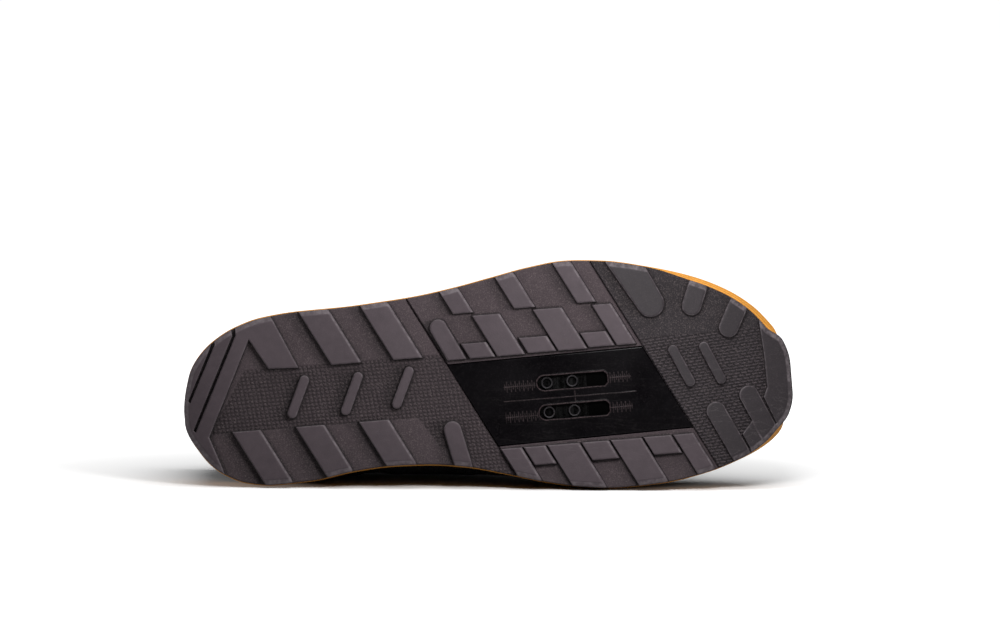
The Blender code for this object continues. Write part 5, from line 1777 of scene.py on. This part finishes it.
VECTOR = ("Vector", "Vector", None)
HEIGHT = ("Height", "Float")
HOLE = ("Hole", "Float")
PINHOLES = group("pinholes", [VECTOR, ("Pitch", "Float", 0.004)], [HOLE], build_pinholes)
GRAIN = group("grain", [VECTOR, ("Scale", "Float", 2000.0)], [HEIGHT, ("Speck", "Float")], build_grain)
MOTTLE = group(
    "mottle",
    [VECTOR, ("Color", "Color", (0.5, 0.5, 0.5, 1)), ("Scale", "Float", 40.0), ("Amount", "Float", 0.3)],
    [("Color", "Color"), ("Patch", "Float")],
    build_mottle,
)
SCUFFS = group("scuffs", [VECTOR, ("Scale", "Float", 30.0)], [("Mask", "Float")], build_scuffs)
WEAVE = group("weave", [VECTOR, ("Pitch", "Float", 0.001)], [HEIGHT, HOLE], build_weave)
LEATHER = group("leather", [VECTOR, ("Scale", "Float", 900.0)], [HEIGHT, ("Valley", "Float")], build_leather)


def grain(tree, place, scale):
    """Height and specks of fine grit."""
    return use(tree, GRAIN, {"Vector": place, "Scale": scale})


def mottle(tree, place, colour, scale, amount):
    """A colour in soft patches, and the patches themselves."""
    colour = (*colour, 1) if isinstance(colour, tuple) else colour
    return use(tree, MOTTLE, {"Vector": place, "Color": colour, "Scale": scale, "Amount": amount})


def scuffs(tree, place, scale):
    """Mask of hairline marks."""
    return use(tree, SCUFFS, {"Vector": place, "Scale": scale})["Mask"]


def finish(name, roughness, specular):
    """New material with its plain numbers set on the shader. Returns it with its tree and shader."""
    result = bpy.data.materials.new(name)
    result.use_nodes = True
    shader = result.node_tree.nodes["Principled BSDF"]
    shader.inputs["Roughness"].default_value = roughness
    shader.inputs["Specular IOR Level"].default_value = specular
    return result, result.node_tree, shader


def object_places(tree):
    """Object coordinates."""
    return add(tree, "TexCoord").outputs["Object"]


def flat_map(tree):
    """The piece's own UV map, in metres."""
    return add(tree, "UVMap", uv_map="surface").outputs[0]


def raise_surface(tree, shader, layers):
    """Bump nodes in a row, each from a height and its depth in metres."""
    normal = None
    for height, depth in layers:
        inputs = {"Height": height, "Distance": depth, "Strength": 1.0}
        if normal:
            inputs["Normal"] = normal
        normal = add(tree, "Bump", inputs).outputs[0]
    tree.links.new(normal, shader.inputs["Normal"])


def paint(tree, shader, colour, roughness=None):
    """Links a colour, and a roughness that changes over the surface, to the shader."""
    tree.links.new(colour, shader.inputs["Base Color"])
    if roughness:
        tree.links.new(roughness, shader.inputs["Roughness"])


def rubber_finish():
    """Black rubber with a purple brown cast, greyer in the toe section and painted darker there as shade. The
    base between the lugs is gritty and darker, the flanks of the lugs are painted near black as shade, and
    their feet carry painted shade with a painted shadow behind each lug. The knurl is painted dark in its
    valleys as shade and, at the toe, paler on its crests as a painted highlight. The lug tops are smoother, and
    their edges are paler, partly from wear and partly as a painted highlight."""
    result, tree, shader = finish("tread_rubber", 0.7, specular=0.22)
    place = object_places(tree)
    lug = carried(tree, "lug")
    valley = carried(tree, "valley")
    toe = carried(tree, "toe")
    # The toe section is greyer, and painted darker as shade.
    top = mixed(tree, toe, (0.049, 0.037, 0.043), (0.0195, 0.0155, 0.018))
    base = mixed(tree, toe, (0.042, 0.031, 0.035), (0.0165, 0.0135, 0.0155))
    height = spread(tree, lug, 0.35, 0.68)
    colour = mixed(tree, height, base, top)
    # Paler lug edges: partly wear, partly a painted highlight along the chamfers.
    wear_and_highlight = times(tree, spread(tree, lug, 0.62, 0.72), spread(tree, lug, 0.92, 0.99, 1.0, 0.0))
    # Lug flanks painted near black as shade.
    flank_shade = times(tree, spread(tree, lug, 0.02, 0.16), spread(tree, lug, 0.50, 0.66, 1.0, 0.0))
    colour = mixed(tree, times(tree, flank_shade, 0.92), colour, (0.005, 0.004, 0.005))
    # Painted shade and painted shadow at the lugs' feet.
    colour = mixed(tree, times(tree, carried(tree, "foot"), 0.92), colour, (0.008, 0.006, 0.007))
    grit = grain(tree, place, 1500.0)
    wear = grain(tree, place, 260.0)
    wear_and_highlight = times(tree, wear_and_highlight, spread(tree, wear["Height"], 0.40, 0.62, 0.25, 0.9))
    colour = mixed(tree, wear_and_highlight, colour, (0.115, 0.098, 0.106))
    # Knurl valleys painted dark as shade; at the toe the knurl crests are painted paler as a highlight.
    deep = times(tree, valley, spread(tree, toe, 0.0, 1.0, 0.70, 0.60))
    toe_knurled = times(tree, carried(tree, "knurl"), toe)
    crest = times(tree, spread(tree, valley, 0.02, 0.35, 0.8, 0.0), toe_knurled)
    colour = mixed(tree, crest, colour, (0.046, 0.037, 0.042))
    colour = mixed(tree, deep, colour, (0.006, 0.0045, 0.0055))
    floor_grit = times(tree, grit["Speck"], spread(tree, height, 0.0, 1.0, 0.55, 0.10))
    colour = mixed(tree, floor_grit, colour, (0.110, 0.088, 0.088))
    colour = mottle(tree, place, colour, 38.0, 0.32)["Color"]
    marks = scuffs(tree, place, 34.0)
    colour = mixed(tree, times(tree, times(tree, marks, height), 0.30), colour, (0.10, 0.088, 0.09))
    paint(tree, shader, colour, spread(tree, height, 0.0, 1.0, 0.82, 0.60))
    rough_grit = times(tree, grit["Height"], spread(tree, height, 0.0, 1.0, 1.0, 0.28))
    raise_surface(tree, shader, [(rough_grit, 0.26 * MM)])
    return result


def plate_finish():
    """Deep black glossy plastic with a faint moulded grain and hairline marks. The raised scales are worn
    brown grey, and the lips round the slots are paler brown grey, partly wear and partly a painted highlight."""
    result, tree, shader = finish("plate_black", 0.2, specular=0.07)
    place = object_places(tree)
    marks = carried(tree, "marks")
    grit = grain(tree, place, 900.0)
    patch = mottle(tree, place, (0.0024, 0.0020, 0.0025), 30.0, 0.9)
    # Paler scales from wear; paler slot lips partly wear, partly a painted highlight.
    wear_and_highlight = times(tree, marks, spread(tree, grit["Height"], 0.38, 0.60, 0.15, 0.95))
    colour = mixed(tree, wear_and_highlight, patch["Color"], (0.050, 0.034, 0.036))
    lines = scuffs(tree, place, 22.0)
    colour = mixed(tree, times(tree, lines, 0.10), colour, (0.05, 0.045, 0.045))
    colour = mixed(tree, times(tree, grit["Speck"], 0.12), colour, (0.03, 0.026, 0.028))
    rough = plus(tree, spread(tree, patch["Patch"], 0.35, 0.65, 0.14, 0.24), times(tree, marks, 0.4))
    paint(tree, shader, colour, rough)
    raise_surface(tree, shader, [(grit["Height"], 0.012 * MM)])
    return result


def steel_finish():
    """Steel: its sheet painted near black as shade inside the slots, and its bosses painted paler as a
    highlight, with rust brown patches.
    """
    result, tree, shader = finish("blackened_steel", 0.35, specular=0.3)
    place = object_places(tree)
    grit = grain(tree, place, 1100.0)
    patch = mottle(tree, place, (0.050, 0.046, 0.050), 160.0, 1.0)
    rust = spread(tree, patch["Patch"], 0.58, 0.72, 0.0, 0.35)
    boss = carried(tree, "boss")
    # Bosses painted paler as a highlight, with rust brown patches.
    boss_highlight_and_rust = mixed(tree, rust, patch["Color"], (0.040, 0.026, 0.020))
    rough = plus(tree, spread(tree, boss, 0.0, 1.0, 0.72, 0.22), times(tree, grit["Height"], 0.2))
    # The sheet is painted near black as shade; the bosses take the painted highlight.
    paint(tree, shader, mixed(tree, boss, (0.0012, 0.001, 0.0012), boss_highlight_and_rust), rough)
    raise_surface(tree, shader, [(grit["Height"], 0.008 * MM)])
    return result


def midsole_finish():
    """Ochre foam rubber with a fine moulded skin, painted darker brown between its ribs as shade, with faint
    brown marks.
    """
    result, tree, shader = finish("midsole_ochre", 0.55, specular=0.3)
    place = object_places(tree)
    grit = grain(tree, place, 1300.0)
    # Painted shade: darker brown between the ribs.
    base = mixed(tree, carried(tree, "groove"), (0.80, 0.37, 0.060), (0.42, 0.16, 0.022))
    patch = mottle(tree, place, base, 34.0, 0.28)
    colour = mixed(tree, times(tree, grit["Speck"], 0.22), patch["Color"], (0.26, 0.10, 0.02))
    lines = scuffs(tree, place, 26.0)
    colour = mixed(tree, times(tree, lines, 0.35), colour, (0.16, 0.07, 0.025))
    paint(tree, shader, colour, spread(tree, grit["Height"], 0.35, 0.65, 0.48, 0.66))
    raise_surface(tree, shader, [(grit["Height"], 0.09 * MM)])
    return result


def cloth_finish(name, colour, dark, pitch, depth):
    """Woven cloth on the piece's own flat map: round threads, dark between them, in soft patches."""
    result, tree, shader = finish(name, 0.85, 0.2)
    shader.inputs["Sheen Weight"].default_value = 0.15
    place = object_places(tree)
    weave = use(tree, WEAVE, {"Vector": flat_map(tree), "Pitch": pitch})
    fuzz = grain(tree, place, 2600.0)
    patch = mottle(tree, place, colour, 50.0, 0.35)
    shade = mixed(tree, times(tree, weave["Hole"], 0.8), patch["Color"], dark)
    shade = mixed(tree, times(tree, fuzz["Speck"], 0.25), shade, tuple(1.8 * part for part in colour))
    paint(tree, shader, shade, spread(tree, fuzz["Height"], 0.3, 0.7, 0.75, 0.95))
    raise_surface(tree, shader, [(fuzz["Height"], 0.04 * MM), (weave["Height"], depth)])
    return result


def upper_finish():
    """Charcoal mesh with pebbled synthetic leather on the overlays, a fine band along each stitched edge,
    pinholes in the vents, and creases painted darker in their troughs as shade and paler on their ridges as a
    painted highlight."""
    result, tree, shader = finish("upper_mesh_and_leather", 0.7, specular=0.35)
    place = object_places(tree)
    overlay = carried(tree, "overlay")
    weave = use(tree, WEAVE, {"Vector": flat_map(tree), "Pitch": 1.15 * MM})
    skin = use(tree, LEATHER, {"Vector": place, "Scale": 950.0})
    fuzz = grain(tree, place, 2200.0)
    cloth = mottle(tree, place, (0.044, 0.044, 0.049), 30.0, 0.5)
    cloth = mixed(tree, times(tree, weave["Hole"], 0.85), cloth["Color"], (0.004, 0.004, 0.005))
    cloth = mixed(tree, times(tree, fuzz["Speck"], 0.3), cloth, (0.07, 0.07, 0.078))
    hide = mottle(tree, place, (0.020, 0.019, 0.021), 26.0, 0.5)
    hide = mixed(tree, times(tree, skin["Valley"], 0.5), hide["Color"], (0.007, 0.007, 0.008))
    seam = carried(tree, "seam")
    hide = mixed(tree, times(tree, seam, 0.6), hide, (0.006, 0.006, 0.007))
    rough = plus(tree, spread(tree, overlay, 0.3, 0.7, 0.86, 0.46), times(tree, fuzz["Height"], 0.08))
    vents = use(tree, PINHOLES, {"Vector": flat_map(tree), "Pitch": 4.2 * MM})["Hole"]
    vents = times(tree, vents, spread(tree, carried(tree, "vents"), 0.45, 0.55))
    both = mixed(tree, spread(tree, overlay, 0.3, 0.7), cloth, hide)
    crease = carried(tree, "crease")
    # Creases painted darker in their troughs as shade and paler on their ridges as a painted highlight.
    both = mixed(tree, spread(tree, crease, 0.15, 1.6, 0.0, 0.60), both, (0.008, 0.008, 0.009))
    both = mixed(tree, spread(tree, crease, -0.10, -0.85, 0.0, 0.6), both, (0.085, 0.083, 0.088))
    paint(tree, shader, mixed(tree, vents, both, (0.002, 0.002, 0.002)), rough)
    mesh_height = times(tree, weave["Height"], spread(tree, overlay, 0.3, 0.7, 1.0, 0.0))
    hide_height = times(tree, skin["Height"], spread(tree, overlay, 0.3, 0.7))
    flat = sums(tree, "SUBTRACT", 1.0, vents)
    raise_surface(tree, shader, [(mesh_height, 0.30 * MM), (hide_height, 0.12 * MM), (flat, 0.5 * MM)])
    return result


def plain_finish(name, colour, roughness, grain_scale, depth, specular=0.4):
    """Moulded or painted surface of one colour with soft patches, fine grain and a few hairline marks."""
    result, tree, shader = finish(name, roughness, specular)
    place = object_places(tree)
    grit = grain(tree, place, grain_scale)
    patch = mottle(tree, place, colour, 70.0, 0.5)
    lines = scuffs(tree, place, 40.0)
    shade = mixed(tree, times(tree, lines, 0.3), patch["Color"], tuple(2.2 * part for part in colour))
    paint(tree, shader, shade, spread(tree, grit["Height"], 0.3, 0.7, roughness - 0.1, roughness + 0.1))
    raise_surface(tree, shader, [(grit["Height"], depth)])
    return result


# Camera, light and floor


def camera():
    """Camera square to the sole. The photograph shows the shoe's length rising 4.6 degrees to the right, with
    one millimetre of the sole 2.11 pixels wide and its plan point below at the middle of the picture."""
    rise_angle = math.radians(4.6)
    pixels_per_metre = 2110
    middle = (0.15337, -0.03026, 0.0)
    lens = 400
    sensor = 36
    axes = POSE.to_3x3()
    along = axes.col[0]
    across = axes.col[1]
    down = -axes.col[2]
    right = math.cos(rise_angle) * along + math.sin(rise_angle) * across
    up = math.sin(rise_angle) * along - math.cos(rise_angle) * across
    distance = lens / sensor * 1000 / pixels_per_metre
    place = POSE @ Vector(middle) + down * distance
    data = bpy.data.cameras.new("view")
    data.lens = lens
    data.sensor_width = sensor
    data.clip_end = 100
    result = placed("view", data)
    result.matrix_world = Matrix.Translation(place) @ Matrix([right, up, down]).transposed().to_4x4()
    bpy.context.scene.camera = result


def soft_light(name, place, target, size, power):
    """Soft white light that faces its target."""
    data = bpy.data.lights.new(name, "AREA")
    data.shape = "RECTANGLE"
    data.size, data.size_y = size
    data.energy = power
    result = placed(name, data)
    result.location = place
    result.rotation_euler = (Vector(target) - Vector(place)).to_track_quat("-Z", "Y").to_euler()


WHITE = (1, 1, 1, 1)
GLOW_FROM = 0.10
GLOW_FULL = 0.42


def floor_white():
    """Matte white that glows a little more with distance, so that the far floor meets the background. It
    throws less light back at the shoe than it shows, so that the relief keeps its shadows."""
    result, tree, shader = finish("floor_white", 0.8, specular=0.1)
    seen = add(tree, "LightPath").outputs["Is Camera Ray"]
    tree.links.new(mixed(tree, seen, (0.25, 0.25, 0.25), (0.93, 0.93, 0.93)), shader.inputs["Base Color"])
    deep = add(tree, "Mapping", {"Vector": object_places(tree), "Scale": (1.0, 1.5, 1.0)})
    distance = add(tree, "VectorMath", {0: deep.outputs[0]}, operation="LENGTH").outputs["Value"]
    tree.links.new(spread(tree, distance, GLOW_FROM, GLOW_FULL), shader.inputs["Emission Strength"])
    shader.inputs["Emission Color"].default_value = WHITE
    return result


def studio():
    """Pale floor, white surroundings and soft lights. The surroundings show white but light the shoe less,
    so that its relief keeps its shadows."""
    size = 6
    mesh = bpy.data.meshes.new("floor")
    corners = [(-size, -size, 0), (size, -size, 0), (size, size, 0), (-size, size, 0)]
    mesh.from_pydata(corners, [], [(0, 1, 2, 3)])
    floor = placed("floor", mesh)
    mesh.materials.append(floor_white())
    world = bpy.data.worlds.new("studio")
    bpy.context.scene.world = world
    world.use_nodes = True
    tree = world.node_tree
    background = tree.nodes["Background"]
    background.inputs["Color"].default_value = WHITE
    background.inputs["Strength"].default_value = 0.02
    shown = add(tree, "Background", {"Color": WHITE, "Strength": 1.05})
    seen = add(tree, "LightPath").outputs["Is Camera Ray"]
    blend = add(tree, "MixShader", {0: seen, 1: background.outputs[0], 2: shown.outputs[0]})
    tree.links.new(blend.outputs[0], tree.nodes["World Output"].inputs["Surface"])
    soft_light("overhead", (0.1, -0.25, 1.5), (0, 0, 0), (2.0, 1.2), 22)
    soft_light("key", (0.095, -0.33, 0.215), (0.03, -0.06, 0.05), (0.12, 0.10), 1.15)
    bpy.context.scene.view_settings.view_transform = "Standard"


rubber_look = rubber_finish()
heel_rubber(rubber_look)
ball_outer_rubber(rubber_look)
ball_inner_rubber(rubber_look)
toe_rubber(rubber_look)
toe_bumper(rubber_look)
cleat_plate(plate_finish())
nut_plate(steel_finish())
midsole(
    midsole_finish(),
    # Underside painted near black as shade.
    plain_finish("midsole_under_black", (0.0015, 0.0015, 0.0015), 0.9, 1200.0, 0.08 * MM, 0.0),
)
insole(cloth_finish("liner_cloth", (0.11, 0.11, 0.12), (0.03, 0.03, 0.03), 0.9 * MM, 0.12 * MM))
upper(
    upper_finish(),
    cloth_finish("collar_lining", (0.034, 0.034, 0.038), (0.006, 0.006, 0.007), 1.3 * MM, 0.20 * MM),
)
seams(plain_finish("stitch_thread", (0.17, 0.165, 0.17), 0.8, 2400.0, 0.05 * MM, 0.2))
eyelet_rings(plain_finish("eyelet_black", (0.008, 0.008, 0.008), 0.3, 900.0, 0.02 * MM))
tongue(cloth_finish("tongue_cloth", (0.026, 0.026, 0.030), (0.004, 0.004, 0.004), 1.0 * MM, 0.16 * MM))
lace(cloth_finish("lace_cloth", (0.060, 0.060, 0.066), (0.014, 0.014, 0.015), 0.55 * MM, 0.14 * MM))
camera()
studio()
